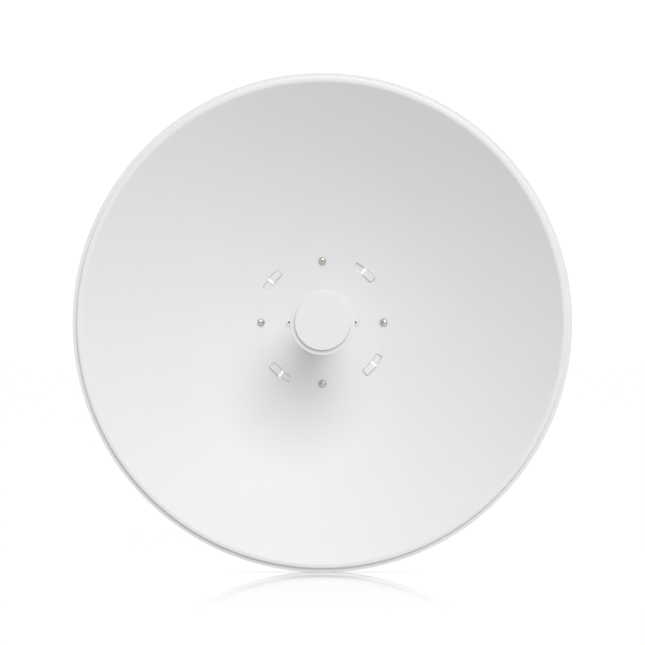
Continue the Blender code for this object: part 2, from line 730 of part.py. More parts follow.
def build_side_bolts():
    """Bolts through the ears: the pivots above, and the ones that lock the tilt below."""
    length = 2 * STEEL + 2 * GAP + M8["nut"] + THREAD_END
    for kind, height in (("pivot", PIVOT_HEIGHT), ("tilt", PIVOT_HEIGHT - TILT_RADIUS)):
        places = []
        for side in (1, -1):
            seat = Matrix.Translation((side * YOKE_HALF_WIDTH, height, PIVOT_DEPTH))
            places.append(seat @ Matrix.Rotation(math.radians(90 * side), 4, "Y"))
        add_copies([f"{kind}_bolt_right", f"{kind}_bolt_left"], bolt_of(M8, length), STAINLESS, places)
        inwards = Matrix.Translation((0, 0, -2 * STEEL - 2 * GAP - M8["nut"]))
        nut_places = [place @ inwards for place in places]
        add_copies([f"{kind}_nut_right", f"{kind}_nut_left"], nut_of(M8), STAINLESS, nut_places)


def build_clamp():
    """Jaw behind the pole, on four coach bolts from the pole bracket."""
    rear = POLE_FACE - JAW_GAP - STEEL
    jaw = moved(notched_channel(), (0, 0, rear))
    bolts = grid_places(CLAMP_BOLT_X, CLAMP_BOLT_Y)
    holes = holes_along_depth(M8["radius"] + GAP, bolts.values(), rear - TRIM, rear + TRIM)
    add_piece("clamp_jaw", combined(jaw, "DIFFERENCE", holes), GALVANISED)
    seat = POLE_FACE + 2 * STEEL - WELD_DEPTH
    crown = [(r, z + GAP) for r, z in dome(CLAMP_HEAD_RADIUS, CLAMP_HEAD_HEIGHT, 4)]
    length = seat - CLAMP_BOLT_END
    shank = [(M8["radius"], GAP), (M8["radius"], -length), (0, -length)]
    places = [Matrix.Translation((x, y, seat)) for x, y in bolts.values()]
    bolt = turned(crown + shank, BOLT_STEPS)
    add_copies([f"clamp_bolt_{corner}" for corner in bolts], bolt, GALVANISED, places)
    places = [Matrix.Translation((x, y, rear - GAP - M8["nut"])) for x, y in bolts.values()]
    add_copies([f"clamp_nut_{corner}" for corner in bolts], nut_of(M8), GALVANISED, places)


build_reflector()
build_dish_screws()
build_hub_rivets()
build_feed_tube()
build_feed_collar()
build_feed_head()
build_feed_cap()
build_hub()
build_socket()
build_port_cover()
build_yoke()
build_pole_bracket()
build_side_bolts()
build_clamp()
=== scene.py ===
"""Looks of the parabolic dish antenna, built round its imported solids.

Metres, +Z up. The dish looks along -Y and the origin is on the pole bracket's flat face. The
pieces are made in the dish frame, with X right, Y up and Z forwards from the dish's vertex, as
seen from in front of the dish, and are then stood in place.
"""

import math

import bmesh
import bpy
from mathutils import Matrix, Vector


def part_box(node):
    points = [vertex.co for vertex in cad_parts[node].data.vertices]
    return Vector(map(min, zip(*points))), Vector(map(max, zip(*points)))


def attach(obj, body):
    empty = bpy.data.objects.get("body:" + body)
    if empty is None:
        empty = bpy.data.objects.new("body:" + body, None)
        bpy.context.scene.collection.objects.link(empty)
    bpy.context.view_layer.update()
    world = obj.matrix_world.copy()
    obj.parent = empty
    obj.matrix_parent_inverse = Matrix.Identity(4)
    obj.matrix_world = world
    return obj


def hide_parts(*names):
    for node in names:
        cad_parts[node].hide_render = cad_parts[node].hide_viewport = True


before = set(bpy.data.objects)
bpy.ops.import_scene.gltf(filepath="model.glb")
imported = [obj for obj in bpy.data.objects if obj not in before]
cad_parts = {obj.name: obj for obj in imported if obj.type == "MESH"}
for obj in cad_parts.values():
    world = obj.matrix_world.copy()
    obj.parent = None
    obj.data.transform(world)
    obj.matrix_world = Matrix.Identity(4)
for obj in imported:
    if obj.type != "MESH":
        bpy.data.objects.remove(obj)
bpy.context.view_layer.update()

VERTEX_Y = -0.112
DISH_FRAME = Matrix.Translation((0, VERTEX_Y, 0)) @ Matrix.Rotation(math.radians(90), 4, "X")
X_AXIS, Y_AXIS, Z_AXIS = Vector((1, 0, 0)), Vector((0, 1, 0)), Vector((0, 0, 1))


def dish_box(node):
    """A node's lowest and highest corners in the dish frame."""
    low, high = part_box(node)
    return Vector((low.x, low.z, VERTEX_Y - high.y)), Vector((high.x, high.z, VERTEX_Y - low.y))


def depths(node):
    """A node's rearmost and foremost depth along the dish's axis."""
    low, high = dish_box(node)
    return low.z, high.z


def reach(node):
    """How far a node reaches to the right of the dish's axis."""
    return dish_box(node)[1].x


# Camera, a hair to the right of the dish's axis.
CAMERA_DISTANCE = 3.0
CAMERA_LENS = 128.93
CAMERA_SHIFT = 0.0001
RIM_DEPTH = depths("reflector")[1]
camera = bpy.data.objects.new("camera", bpy.data.cameras.new("camera"))
bpy.context.scene.collection.objects.link(camera)
camera.data.lens = CAMERA_LENS
camera.location = (CAMERA_SHIFT, VERTEX_Y - RIM_DEPTH - CAMERA_DISTANCE, 0)
camera.rotation_euler = (math.radians(90), 0, 0)
bpy.context.scene.camera = camera


# Materials.

MIX_LOW, MIX_HIGH, MIX_RESULT = 6, 7, 2
USUAL_NOISE = (0.3, 0.7)


class Nodes:
    """A node tree with short ways to add to it."""

    def __init__(self, owner):
        owner.use_nodes = True
        self.tree = owner.node_tree

    def feed(self, node, inputs):
        """Sets a node's inputs, or links those that are given another node's output."""
        for socket, value in inputs.items():
            if isinstance(value, bpy.types.NodeSocket):
                self.tree.links.new(value, node.inputs[socket])
            else:
                node.inputs[socket].default_value = value

    def add(self, kind, inputs=None, **settings):
        node = self.tree.nodes.new(kind)
        for setting, value in settings.items():
            setattr(node, setting, value)
        self.feed(node, inputs or {})
        return node

    def between(self, factor, low, high, ends=USUAL_NOISE, **settings):
        """A number that runs from low to high as the factor goes from one end to the other."""
        inputs = {"Value": factor, "From Min": ends[0], "From Max": ends[1], "To Min": low, "To Max": high}
        return self.add("ShaderNodeMapRange", inputs, **settings).outputs["Result"]


class Finish(Nodes):
    """A material with a Principled shader, and the name of its slot."""

    def __init__(self, name, colour, roughness, metallic=0.0, slot=None):
        self.material = bpy.data.materials.new(name)
        super().__init__(self.material)
        self.slot = slot or name
        self.colour = colour
        self.shader = self.tree.nodes["Principled BSDF"]
        self.place = self.add("ShaderNodeTexCoord").outputs["Object"]
        self.set("Base Color", (*colour, 1))
        self.set("Roughness", roughness)
        self.set("Metallic", metallic)

    def set(self, socket, value):
        self.feed(self.shader, {socket: value})

    def noise(self, scale, detail=2.0):
        """Noise over the object's own place."""
        inputs = {"Vector": self.place, "Scale": scale, "Detail": detail}
        return self.add("ShaderNodeTexNoise", inputs).outputs["Fac"]

    def cells(self, scale):
        """Cells of one grey each, as on spangled zinc."""
        cells = self.add("ShaderNodeTexVoronoi", {"Vector": self.place, "Scale": scale})
        return self.add("ShaderNodeSeparateColor", {"Color": cells.outputs["Color"]}).outputs["Red"]

    def colours(self, factor, low, high, ends=USUAL_NOISE):
        """Lets the colour run from low to high."""
        inputs = {"Factor": self.between(factor, 0, 1, ends), MIX_LOW: (*low, 1), MIX_HIGH: (*high, 1)}
        self.set("Base Color", self.add("ShaderNodeMix", inputs, data_type="RGBA").outputs[MIX_RESULT])

    def mottle(self, factor, darker, lighter):
        """Lets the colour drift darker and lighter by shares of itself."""
        low, high = ([channel * share for channel in self.colour] for share in (1 - darker, 1 + lighter))
        self.colours(factor, low, high)

    def roughen(self, factor, low, high, ends=USUAL_NOISE):
        self.set("Roughness", self.between(factor, low, high, ends))

    def bump(self, heights, distance):
        """Relief of the given depth in metres. Each call adds to the one before it."""
        bump = self.add("ShaderNodeBump", {"Strength": 1.0, "Distance": distance, "Height": heights})
        socket = self.shader.inputs["Normal"]
        if socket.is_linked:
            self.feed(bump, {"Normal": socket.links[0].from_socket})
        self.set("Normal", bump.outputs["Normal"])


def powder_coat():
    """White powder coat with a fine orange peel."""
    made = Finish("white_powder_coat", (0.795, 0.803, 0.809), 0.48, slot="dish_paint")
    made.mottle(made.noise(9), 0.006, 0.006)
    made.roughen(made.noise(60), 0.45, 0.52)
    made.bump(made.noise(420, 3), 0.00002)
    made.bump(made.noise(1500), 0.00001)
    return made


def moulded_plastic(name, colour, grain, slot=None):
    """White weather-proof plastic with a fine moulded grain."""
    made = Finish(name, colour, 0.42, slot=slot)
    made.mottle(made.noise(25), 0.005, 0.005)
    made.roughen(made.noise(140), 0.38, 0.46)
    made.bump(made.noise(grain), 0.000015)
    return made


def stainless():
    """Cold-formed stainless steel, warm and lightly tumbled."""
    made = Finish("stainless_steel", (0.54, 0.52, 0.485), 0.36, 1.0)
    made.mottle(made.noise(500), 0.08, 0.08)
    made.roughen(made.noise(900), 0.31, 0.42)
    made.bump(made.noise(2500), 0.00001)
    return made


def galvanised():
    """Hot-dip zinc with its spangle and a slightly uneven skin."""
    made = Finish("galvanised_steel", (0.58, 0.60, 0.61), 0.42, 1.0)
    spangle, ends = made.cells(170), (0.1, 0.9)
    made.colours(spangle, (0.50, 0.52, 0.535), (0.66, 0.68, 0.69), ends)
    made.roughen(spangle, 0.34, 0.52, ends)
    made.bump(made.noise(120, 4), 0.00012)
    made.bump(made.noise(1200), 0.00002)
    return made


def cast_metal():
    """Sand-cast aluminium, tumbled matte."""
    made = Finish("cast_aluminium", (0.60, 0.61, 0.62), 0.52, 1.0)
    made.mottle(made.noise(90, 4), 0.10, 0.08)
    made.roughen(made.noise(300), 0.46, 0.60)
    made.bump(made.noise(900, 4), 0.00010)
    return made


def black_plastic():
    """Black nylon with a fine grain."""
    made = Finish("black_plastic", (0.028, 0.028, 0.030), 0.45)
    made.mottle(made.noise(200), 0.15, 0.25)
    made.roughen(made.noise(400), 0.40, 0.52)
    made.bump(made.noise(2600), 0.00002)
    return made


PAINT = powder_coat()
PLASTIC = moulded_plastic("white_plastic", (0.800, 0.806, 0.810), 2200, slot="feed_plastic")
CAP_PLASTIC = moulded_plastic("cap_plastic", (0.801, 0.808, 0.815), 3000)
STAINLESS = stainless()
GALVANISED = galvanised()
CAST_METAL = cast_metal()
BLACK_PLASTIC = black_plastic()


# Helpers that make meshes in the dish frame.

SMOOTH_ANGLE = math.radians(35)
EDGE_ANGLE = math.radians(40)
WELD = 1e-6
ROUNDING = 1e-6
MARGIN = 0.001
DRILL_REACH = 0.03


def linked(name, mesh):
    """A new object in the scene."""
    obj = bpy.data.objects.new(name, mesh)
    bpy.context.scene.collection.objects.link(obj)
    return obj


def from_bmesh(name, shape):
    mesh = bpy.data.meshes.new(name)
    shape.to_mesh(mesh)
    shape.free()
    return linked(name, mesh)


def modified(obj, kind, **settings):
    """The object with a modifier applied to its mesh."""
    modifier = obj.modifiers.new(kind, kind)
    for setting, value in settings.items():
        setattr(modifier, setting, value)
    bpy.context.view_layer.update()
    graph = bpy.context.evaluated_depsgraph_get()
    mesh = bpy.data.meshes.new_from_object(obj.evaluated_get(graph))
    obj.modifiers.clear()
    obj.data = mesh
    return obj


def combine(obj, tool, operation):
    """A Boolean of two objects. The tool is used up."""
    modified(obj, "BOOLEAN", operation=operation, solver="EXACT", object=tool)
    bpy.data.objects.remove(tool, do_unlink=True)
    return obj


def softened(obj, width, segments=2):
    """The object with its sharp edges rounded."""
    edges = {"limit_method": "ANGLE", "angle_limit": EDGE_ANGLE, "use_clamp_overlap": False}
    return modified(obj, "BEVEL", width=width, segments=segments, **edges)


def melted(obj, voxel, rounds):
    """The object as one skin with its corners run soft, as a casting has."""
    skin = modified(obj, "REMESH", mode="VOXEL", voxel_size=voxel)
    return modified(skin, "SMOOTH", factor=0.5, iterations=rounds)


def moved(obj, matrix):
    obj.data.transform(matrix)
    return obj


def shift(x=0.0, y=0.0, z=0.0):
    return Matrix.Translation((x, y, z))


def turn(degrees, axis):
    return Matrix.Rotation(math.radians(degrees), 4, axis)


def facing(way):
    """A turn that points Z along the way."""
    return way.to_track_quat("Z", "Y").to_matrix().to_4x4()


def arc(centre, radius, start, end, steps):
    """Points on an arc in degrees, both ends included."""
    angles = [math.radians(start + (end - start) * i / steps) for i in range(steps + 1)]
    return [(centre[0] + radius * math.cos(a), centre[1] + radius * math.sin(a)) for a in angles]


def circle(centre, radius, steps=40):
    return arc(centre, radius, 0, 360 - 360 / steps, steps - 1)


def filleted(corners, steps=6, closed=False):
    """(x, y) points of a path whose (x, y, radius) corners are rounded. A corner may have no radius."""
    points = []
    for i, (x, y, *radius) in enumerate(corners):
        if not radius or (not closed and i in (0, len(corners) - 1)):
            points.append((x, y))
            continue
        corner, radius = Vector((x, y)), radius[0]
        before = (Vector(corners[i - 1][:2]) - corner).normalized()
        after = (Vector(corners[(i + 1) % len(corners)][:2]) - corner).normalized()
        half = before.angle(after) / 2
        centre = corner + (before + after).normalized() * (radius / math.sin(half))
        start = corner + before * (radius / math.tan(half)) - centre
        end = corner + after * (radius / math.tan(half)) - centre
        first = math.degrees(math.atan2(start.y, start.x))
        swing = (math.degrees(math.atan2(end.y, end.x)) - first + 180) % 360 - 180
        points += arc(centre, radius, first, first + swing, steps)
    return points


def mirrored(corners, across=-1, along=1):
    """A path's corners, and then their mirror image from the path's end back to its start."""
    return [*corners, *((across * x, along * y, *radius) for x, y, *radius in corners[::-1])]


def four_quarters(corners):
    """A quarter of an outline, mirrored to both sides."""
    return mirrored(mirrored(corners), 1, -1)


def lathe(profile, steps=96, ring=False):
    """(radius, height) points turned round Z. A ring is closed; otherwise both ends lie on the axis."""
    shape = bmesh.new()
    verts = [shape.verts.new((r, 0, z)) for r, z in profile]
    edges = [shape.edges.new(pair) for pair in zip(verts, verts[1:])]
    if ring:
        edges.append(shape.edges.new((verts[-1], verts[0])))
    spin = {"axis": (0, 0, 1), "cent": (0, 0, 0), "angle": math.tau, "steps": steps}
    bmesh.ops.spin(shape, geom=verts + edges, use_merge=True, **spin)
    bmesh.ops.remove_doubles(shape, verts=shape.verts, dist=WELD)
    bmesh.ops.recalc_face_normals(shape, faces=shape.faces)
    return from_bmesh("lathe", shape)


def flat_faces(outlines):
    """A flat mesh of the first outline's area, less the areas of the others."""
    shape = bmesh.new()
    edges = []
    for points in outlines:
        verts = [shape.verts.new((x, y, 0)) for x, y in points]
        edges += [shape.edges.new(pair) for pair in zip(verts, verts[1:] + verts[:1])]
    bmesh.ops.triangle_fill(shape, use_beauty=True, edges=edges, normal=(0, 0, 1))
    return shape


def cut_across(shape, point, normal, **options):
    """Cuts a mesh along a plane."""
    everything = shape.verts[:] + shape.edges[:] + shape.faces[:]
    bmesh.ops.bisect_plane(shape, geom=everything, plane_co=point, plane_no=normal, **options)


def thickened(flat, front, rear):
    """Closes a flat mesh into a body whose two faces are given by functions of X and Y."""
    shape = bmesh.new()
    pairs = {}
    for vert in flat.verts:
        pairs[vert] = [shape.verts.new(face(vert.co.x, vert.co.y)) for face in (front, rear)]
    for face in flat.faces:
        shape.faces.new([pairs[vert][0] for vert in face.verts])
        shape.faces.new([pairs[vert][1] for vert in reversed(face.verts)])
    for edge in flat.edges:
        if edge.is_boundary:
            loop = edge.link_loops[0]
            a, b = pairs[loop.vert], pairs[loop.link_loop_next.vert]
            shape.faces.new((b[0], a[0], a[1], b[1]))
    flat.free()
    bmesh.ops.recalc_face_normals(shape, faces=shape.faces)
    return from_bmesh("body", shape)


def plate(outlines, low, high):
    """Flat outlines in XY, made thick along Z."""
    return thickened(flat_faces(outlines), lambda x, y: (x, y, high), lambda x, y: (x, y, low))


def rounded_block(low, high, radius):
    shape = bmesh.new()
    size, centre = Vector(high) - Vector(low), (Vector(high) + Vector(low)) / 2
    bmesh.ops.create_cube(shape, size=1, matrix=Matrix.Translation(centre) @ Matrix.Diagonal((*size, 1)))
    bmesh.ops.bevel(shape, geom=shape.edges[:], offset=radius, segments=5, profile=0.5, affect="EDGES")
    return from_bmesh("block", shape)


def cone(shape, radii, depth, place, steps):
    """Adds a cone to a mesh, with its middle at the place. It has a lower and an upper radius."""
    sizes = {"radius1": radii[0], "radius2": radii[1], "depth": depth}
    bmesh.ops.create_cone(shape, cap_ends=True, segments=steps, matrix=place, **sizes)


def drill(obj, radius, places, low=-DRILL_REACH, high=DRILL_REACH, steps=40):
    """Cuts a round hole along each place's own Z."""
    shape = bmesh.new()
    for place in places:
        cone(shape, (radius, radius), high - low, place @ shift(z=(low + high) / 2), steps)
    return combine(obj, from_bmesh("drill", shape), "DIFFERENCE")


def add_piece(name, obj, finish, *nodes, place=Matrix.Identity(4)):
    """Stands a finished mesh in place of the nodes it replaces."""
    obj.name = name
    obj.data.name = name
    obj.data.transform(DISH_FRAME @ place)
    obj.data.shade_smooth()
    obj.data.set_sharp_from_angle(angle=SMOOTH_ANGLE)
    obj.data.materials.clear()
    obj.data.materials.append(finish.material)
    weighted = obj.modifiers.new("Flats", "WEIGHTED_NORMAL")
    weighted.keep_sharp = True
    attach(obj, "root")
    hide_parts(*nodes)
    return obj


def add_copies(kind, obj, finish, places):
    """A copy of the mesh for each node, named after the node and stood in its place."""
    for node, place in places.items():
        add_piece(f"{kind}_{node}", linked(kind, obj.data.copy()), finish, node, place=place)
    bpy.data.objects.remove(obj, do_unlink=True)


# The reflector. Depths are measured forwards from its vertex.

DISH_RADIUS = reach("reflector")
APERTURE_RADIUS = 0.3118
FOCAL_LENGTH = 0.168
SHEET = 0.0016
LIP_RADIUS = 0.0060
LIP_EDGE = 0.3178
STEP_ANGLE = math.radians(84)
STEP_OUTER_RADIUS = 0.0017
STEP_INNER_RADIUS = 0.0006
STEP_WIDTH = 0.0003
FLANGE_ANGLE = math.radians(8)
SKIRT_RADIUS = 0.0008
SKIRT_END = 0.131
FEED_HOLE_RADIUS = 0.0285

TAB_CIRCLE = 0.0893
TAB_FIRST_ANGLE = 51.2
TAB_WIDTH = 0.0090
TAB_SLOT = 0.0031
TAB_PROUD_LENGTH = 0.0156
TAB_SUNK_LENGTH = 0.0128
TAB_OFFSET = 0.0023
TAB_WALL = 0.0008
TAB_GAP = 0.0005
TAB_GAP_DEPTH = 0.0012
TAB_CORNER = 0.0014
TAB_CORNER_STEP = 0.00016
TAB_MARGIN = 0.0022
TAB_END = 0.0040
TAB_STEP = 0.0020

SCREW_CIRCLE = 0.0834
SCREW_ANGLES = {"top": 90, "right": 0, "bottom": 270, "left": 180}
RIVET_CIRCLE = 0.0449
RIVET_RADIUS = 0.0030
RIVET_ANGLES = {"left": 180, "right": 0}

BOWL_TURN = 2.0
RIM_TURN = 1.0
INNER_STEP = 0.006
OUTER_STEP = 0.008
CLEARANCE = 0.0003


def surface(radius):
    return radius * radius / (4 * FOCAL_LENGTH)


def slope(radius):
    return math.atan(radius / (2 * FOCAL_LENGTH))


def on_surface(radius, angle):
    """A place on the reflector's front, with Z out of the surface and Y along the circle."""
    stand = Matrix.Translation((radius, 0, surface(radius))) @ Matrix.Rotation(-slope(radius), 4, "Y")
    return turn(angle, "Z") @ stand


def spread(low, high, step):
    """Numbers from low to high, both included, at most a step apart."""
    count = max(1, math.ceil((high - low) / step - ROUNDING))
    return [low + (high - low) * i / count for i in range(count + 1)]


def turn_path(path, heading, radius, new_heading, steps):
    """Adds an arc to a path that heads one way and leaves it heading another. Returns the new heading."""
    side = -1 if new_heading < heading else 1
    centre = Vector(path[-1]) + side * radius * Vector((-math.sin(heading), math.cos(heading)))
    for step in range(1, steps + 1):
        angle = heading + (new_heading - heading) * step / steps
        path.append(tuple(centre - side * radius * Vector((-math.sin(angle), math.cos(angle)))))
    return new_heading


def rim_path():
    """The front of the rim: rolled lip, step, outer flange and turned-back skirt."""
    path = [(APERTURE_RADIUS, surface(APERTURE_RADIUS))]
    heading = turn_path(path, slope(APERTURE_RADIUS), LIP_RADIUS, 0.0, 8)
    path.append((LIP_EDGE, path[-1][1]))
    heading = turn_path(path, heading, STEP_OUTER_RADIUS, -STEP_ANGLE, 8)
    path.append((path[-1][0] + STEP_WIDTH, path[-1][1] - STEP_WIDTH * math.tan(STEP_ANGLE)))
    heading = turn_path(path, heading, STEP_INNER_RADIUS, FLANGE_ANGLE, 7)
    flange_end = DISH_RADIUS - SKIRT_RADIUS * (1 + math.sin(FLANGE_ANGLE))
    path.append((flange_end, path[-1][1] + (flange_end - path[-1][0]) * math.tan(FLANGE_ANGLE)))
    turn_path(path, heading, SKIRT_RADIUS, math.radians(-90), 10)
    depth = path[-1][1]
    return path + [(DISH_RADIUS, z) for z in (depth - MARGIN, (depth + SKIRT_END) / 2, SKIRT_END)]


FLANGE_DEPTH = max(z for r, z in rim_path() if r > DISH_RADIUS - SKIRT_RADIUS - WELD)


def wall_lines(edge, inwards):
    """Lines across a tab's wall, its gap and the corner inside. Inwards is the sign of the way in."""
    half = TAB_WALL / 2
    wall = spread(edge - half, edge + half, TAB_WALL / 4)
    outside = [edge - inwards * (half + share * TAB_GAP) for share in (0.5, 1)]
    inside = [edge + inwards * (half + step) for step in spread(0, TAB_CORNER, TAB_CORNER_STEP)[1:]]
    return wall + outside + inside


def tab_radii():
    """The radii that the tabs' shape needs, from just inside the tabs to just outside them."""
    inner = TAB_CIRCLE - TAB_WIDTH / 2
    outer = TAB_CIRCLE + TAB_WIDTH / 2
    radii = wall_lines(inner, 1) + wall_lines(outer, -1) + [TAB_CIRCLE]
    return sorted([inner - TAB_MARGIN, outer + TAB_MARGIN, *radii])


def tab_offsets():
    """The places along the circle that one tab's shape needs, from its slot's middle, in metres."""
    slot = TAB_SLOT / 2
    proud, sunk = -(slot + TAB_PROUD_LENGTH), slot + TAB_SUNK_LENGTH
    lines = [proud - TAB_MARGIN, *wall_lines(proud, 1), *wall_lines(sunk, -1), sunk + TAB_MARGIN]
    lines += spread(proud + TAB_END, -slot, TAB_STEP) + spread(slot, sunk - TAB_END, TAB_STEP)
    return lines


def turn_angles(step, offsets=()):
    """Degrees round the dish, a step apart, and at each tab's offsets."""
    quarter = spread(-45, 45 - step, step) + [math.degrees(offset / TAB_CIRCLE) for offset in offsets]
    return sorted(TAB_FIRST_ANGLE + 90 * i + angle for i in range(4) for angle in quarter)


def tab_angle(angle):
    """The angle from the middle of the nearest tab's slot, in degrees."""
    return (angle - TAB_FIRST_ANGLE + 45) % 90 - 45


def pressed(radius, angle):
    """How far the tabs' pressing lifts the sheet at a place. The clockwise half of a tab stands proud."""
    along = math.radians(tab_angle(angle)) * TAB_CIRCLE
    length = TAB_SUNK_LENGTH if along > 0 else TAB_PROUD_LENGTH
    beyond = abs(along) - (TAB_SLOT / 2 + length - TAB_CORNER)
    beside = abs(radius - TAB_CIRCLE) - (TAB_WIDTH / 2 - TAB_CORNER)
    outside = math.hypot(max(beyond, 0), max(beside, 0)) + min(max(beyond, beside), 0) - TAB_CORNER
    share = min(1, max(0, 0.5 - outside / TAB_WALL))
    from_foot = math.copysign(outside, -along * outside) - (TAB_WALL + TAB_GAP) / 2
    gap = max(0, 1 - 2 * abs(from_foot) / TAB_GAP) if along < 0 or radius > TAB_CIRCLE else 0
    return math.copysign(TAB_OFFSET, -along) * share * share * (3 - 2 * share) - TAB_GAP_DEPTH * gap


def in_slot(radius, angle):
    half = (TAB_WIDTH + TAB_WALL) / 2
    along = math.radians(abs(tab_angle(angle))) * TAB_CIRCLE
    return abs(radius - TAB_CIRCLE) < half and along < TAB_SLOT / 2


def dish_profile():
    """(radius, depth, area) of each ring, from the feed's hole to the skirt's end."""
    tabs = tab_radii()
    areas = {
        "inside": spread(FEED_HOLE_RADIUS, tabs[0], INNER_STEP)[:-1],
        "tabs": tabs,
        "outside": spread(tabs[-1], APERTURE_RADIUS, OUTER_STEP)[1:-1],
    }
    rings = [(r, surface(r), area) for area, radii in areas.items() for r in radii]
    return rings + [(r, z, "rim") for r, z in rim_path()]


def outward_normals(rings):
    """Each ring's normal in its profile's plane, out of the front."""
    normals = []
    for i, (radius, depth, _) in enumerate(rings):
        if radius <= APERTURE_RADIUS:
            normals.append(Vector((-math.sin(slope(radius)), math.cos(slope(radius)))))
            continue
        before = Vector(rings[i - 1][:2])
        after = Vector(rings[min(i + 1, len(rings) - 1)][:2])
        into = (Vector((radius, depth)) - before).normalized()
        out = (after - Vector((radius, depth))).normalized() if i + 1 < len(rings) else into
        along = (into + out).normalized()
        normals.append(Vector((-along.y, along.x)) / along.dot(into))
    return normals


def set_back(radius, depth, normal):
    """The rear skin's place behind a place of the front. It has a sharp corner behind the skirt's bend."""
    out, back = radius - normal.x * SHEET, depth - normal.y * SHEET
    if radius > DISH_RADIUS - SKIRT_RADIUS - WELD:
        return min(out, DISH_RADIUS - SHEET), min(back, FLANGE_DEPTH - SHEET)
    return out, back


def ring_of(shape, radius, place, angles, area):
    """A ring of points by angle at a place (radius, depth), pressed as the front is at the given radius."""
    ring = {}
    out, depth = place
    for angle in angles:
        lift = pressed(radius, angle) if area == "tabs" else 0
        swing = math.radians(angle)
        ring[angle] = shape.verts.new((out * math.cos(swing), out * math.sin(swing), depth + lift))
    return ring


def skin_between(shape, inner, outer, radius, flip):
    """Faces between two rings. One ring's angles are all in the other, or the other way round."""
    coarse = inner if len(inner) <= len(outer) else outer
    marks = sorted(coarse)
    for first, last in zip(marks, marks[1:] + [marks[0] + 360]):
        near = [inner[a] for a in sorted(inner) if first <= a <= last]
        far = [outer[a] for a in sorted(outer) if first <= a <= last]
        if last > marks[-1]:
            near.append(inner[marks[0]])
            far.append(outer[marks[0]])
        if in_slot(radius, (first + last) / 2):
            continue
        corners = near[::-1] + far
        shape.faces.new(corners[::-1] if flip else corners)


def close_edges(shape, front_to_rear):
    """Walls from the front skin's open edges to the same edges of the rear skin."""
    for edge in [e for e in shape.edges if e.is_boundary and e.verts[0] in front_to_rear]:
        loop = edge.link_loops[0]
        a, b = loop.vert, loop.link_loop_next.vert
        shape.faces.new((b, a, front_to_rear[a], front_to_rear[b]))


def sheet_metal():
    """The reflector's two skins and its edges, before its holes are drilled."""
    shape = bmesh.new()
    angles = {
        "inside": turn_angles(BOWL_TURN),
        "tabs": turn_angles(BOWL_TURN, tab_offsets()),
        "outside": turn_angles(BOWL_TURN),
        "rim": turn_angles(RIM_TURN),
    }
    rings = dish_profile()
    front = [(r, z) for r, z, _ in rings]
    back = [set_back(*place, normal) for place, normal in zip(front, outward_normals(rings))]
    skins = [
        [ring_of(shape, r, place, angles[area], area) for (r, _, area), place in zip(rings, places)]
        for places in (front, back)
    ]
    for skin, flip in zip(skins, (False, True)):
        for i, (inner, outer) in enumerate(zip(skin, skin[1:])):
            skin_between(shape, inner, outer, (rings[i][0] + rings[i + 1][0]) / 2, flip)
    front_to_rear = {f[a]: r[a] for f, r in zip(*skins) for a in f}
    close_edges(shape, front_to_rear)
    bmesh.ops.delete(shape, geom=[v for v in shape.verts if not v.link_faces], context="VERTS")
    bmesh.ops.remove_doubles(shape, verts=shape.verts, dist=WELD)
    return from_bmesh("reflector_dish", shape)


def places_on_circle(kind, radius, angles, sunk=0.0):
    """The place of each node of a kind on a circle of the reflector, sunk below its front."""
    seat = shift(z=-sunk)
    return {f"{kind}_{side}": on_surface(radius, angle) @ seat for side, angle in angles.items()}


SCREW_PLACES = places_on_circle("dish_screw", SCREW_CIRCLE, SCREW_ANGLES)
RIVET_PLACES = places_on_circle("hub_rivet", RIVET_CIRCLE, RIVET_ANGLES)


def drill_for_dish(obj):
    """Drills the holes for the dish's screws and rivets."""
    drill(obj, M5["radius"] + CLEARANCE, SCREW_PLACES.values())
    drill(obj, RIVET_RADIUS + CLEARANCE, RIVET_PLACES.values())


def build_reflector():
    """The pressed dish with its rim, tabs and holes."""
    dish = sheet_metal()
    drill_for_dish(dish)
    add_piece("reflector_dish", dish, PAINT, "reflector")


# Fasteners. Each stands on Z = 0, with its head above and its thread below.

M8 = {"flats": 0.0130, "radius": 0.0040, "pitch": 0.00125, "washer_radius": 0.0080, "washer_height": 0.0014}
M6 = {"flats": 0.0100, "radius": 0.0030, "pitch": 0.0010, "washer_radius": 0.0060, "washer_height": 0.0010}
M5 = {"flats": 0.0080, "radius": 0.0025, "pitch": 0.0008}
CORNERS = ("upper_right", "upper_left", "lower_left", "lower_right")
THREAD_DEPTH = 0.61
THREAD_PROFILE = ((0.0, 0), (0.14, 0), (0.43, 1), (0.57, 1))
THREAD_STEPS = 24
SPARE_LAPS = 2
THREAD_CORE = 0.9
THREAD_SINK = 0.0001
THREAD_SNAP = 1e-8
CHAMFER = math.radians(30)
CHAMFER_CIRCLE = 0.95
BARREL = 1.02
NUT_FLARE = 0.0006
WASHER_EDGE = 0.0003
OVERLAP = 0.00005
HEXAGON_TURN = 7.3


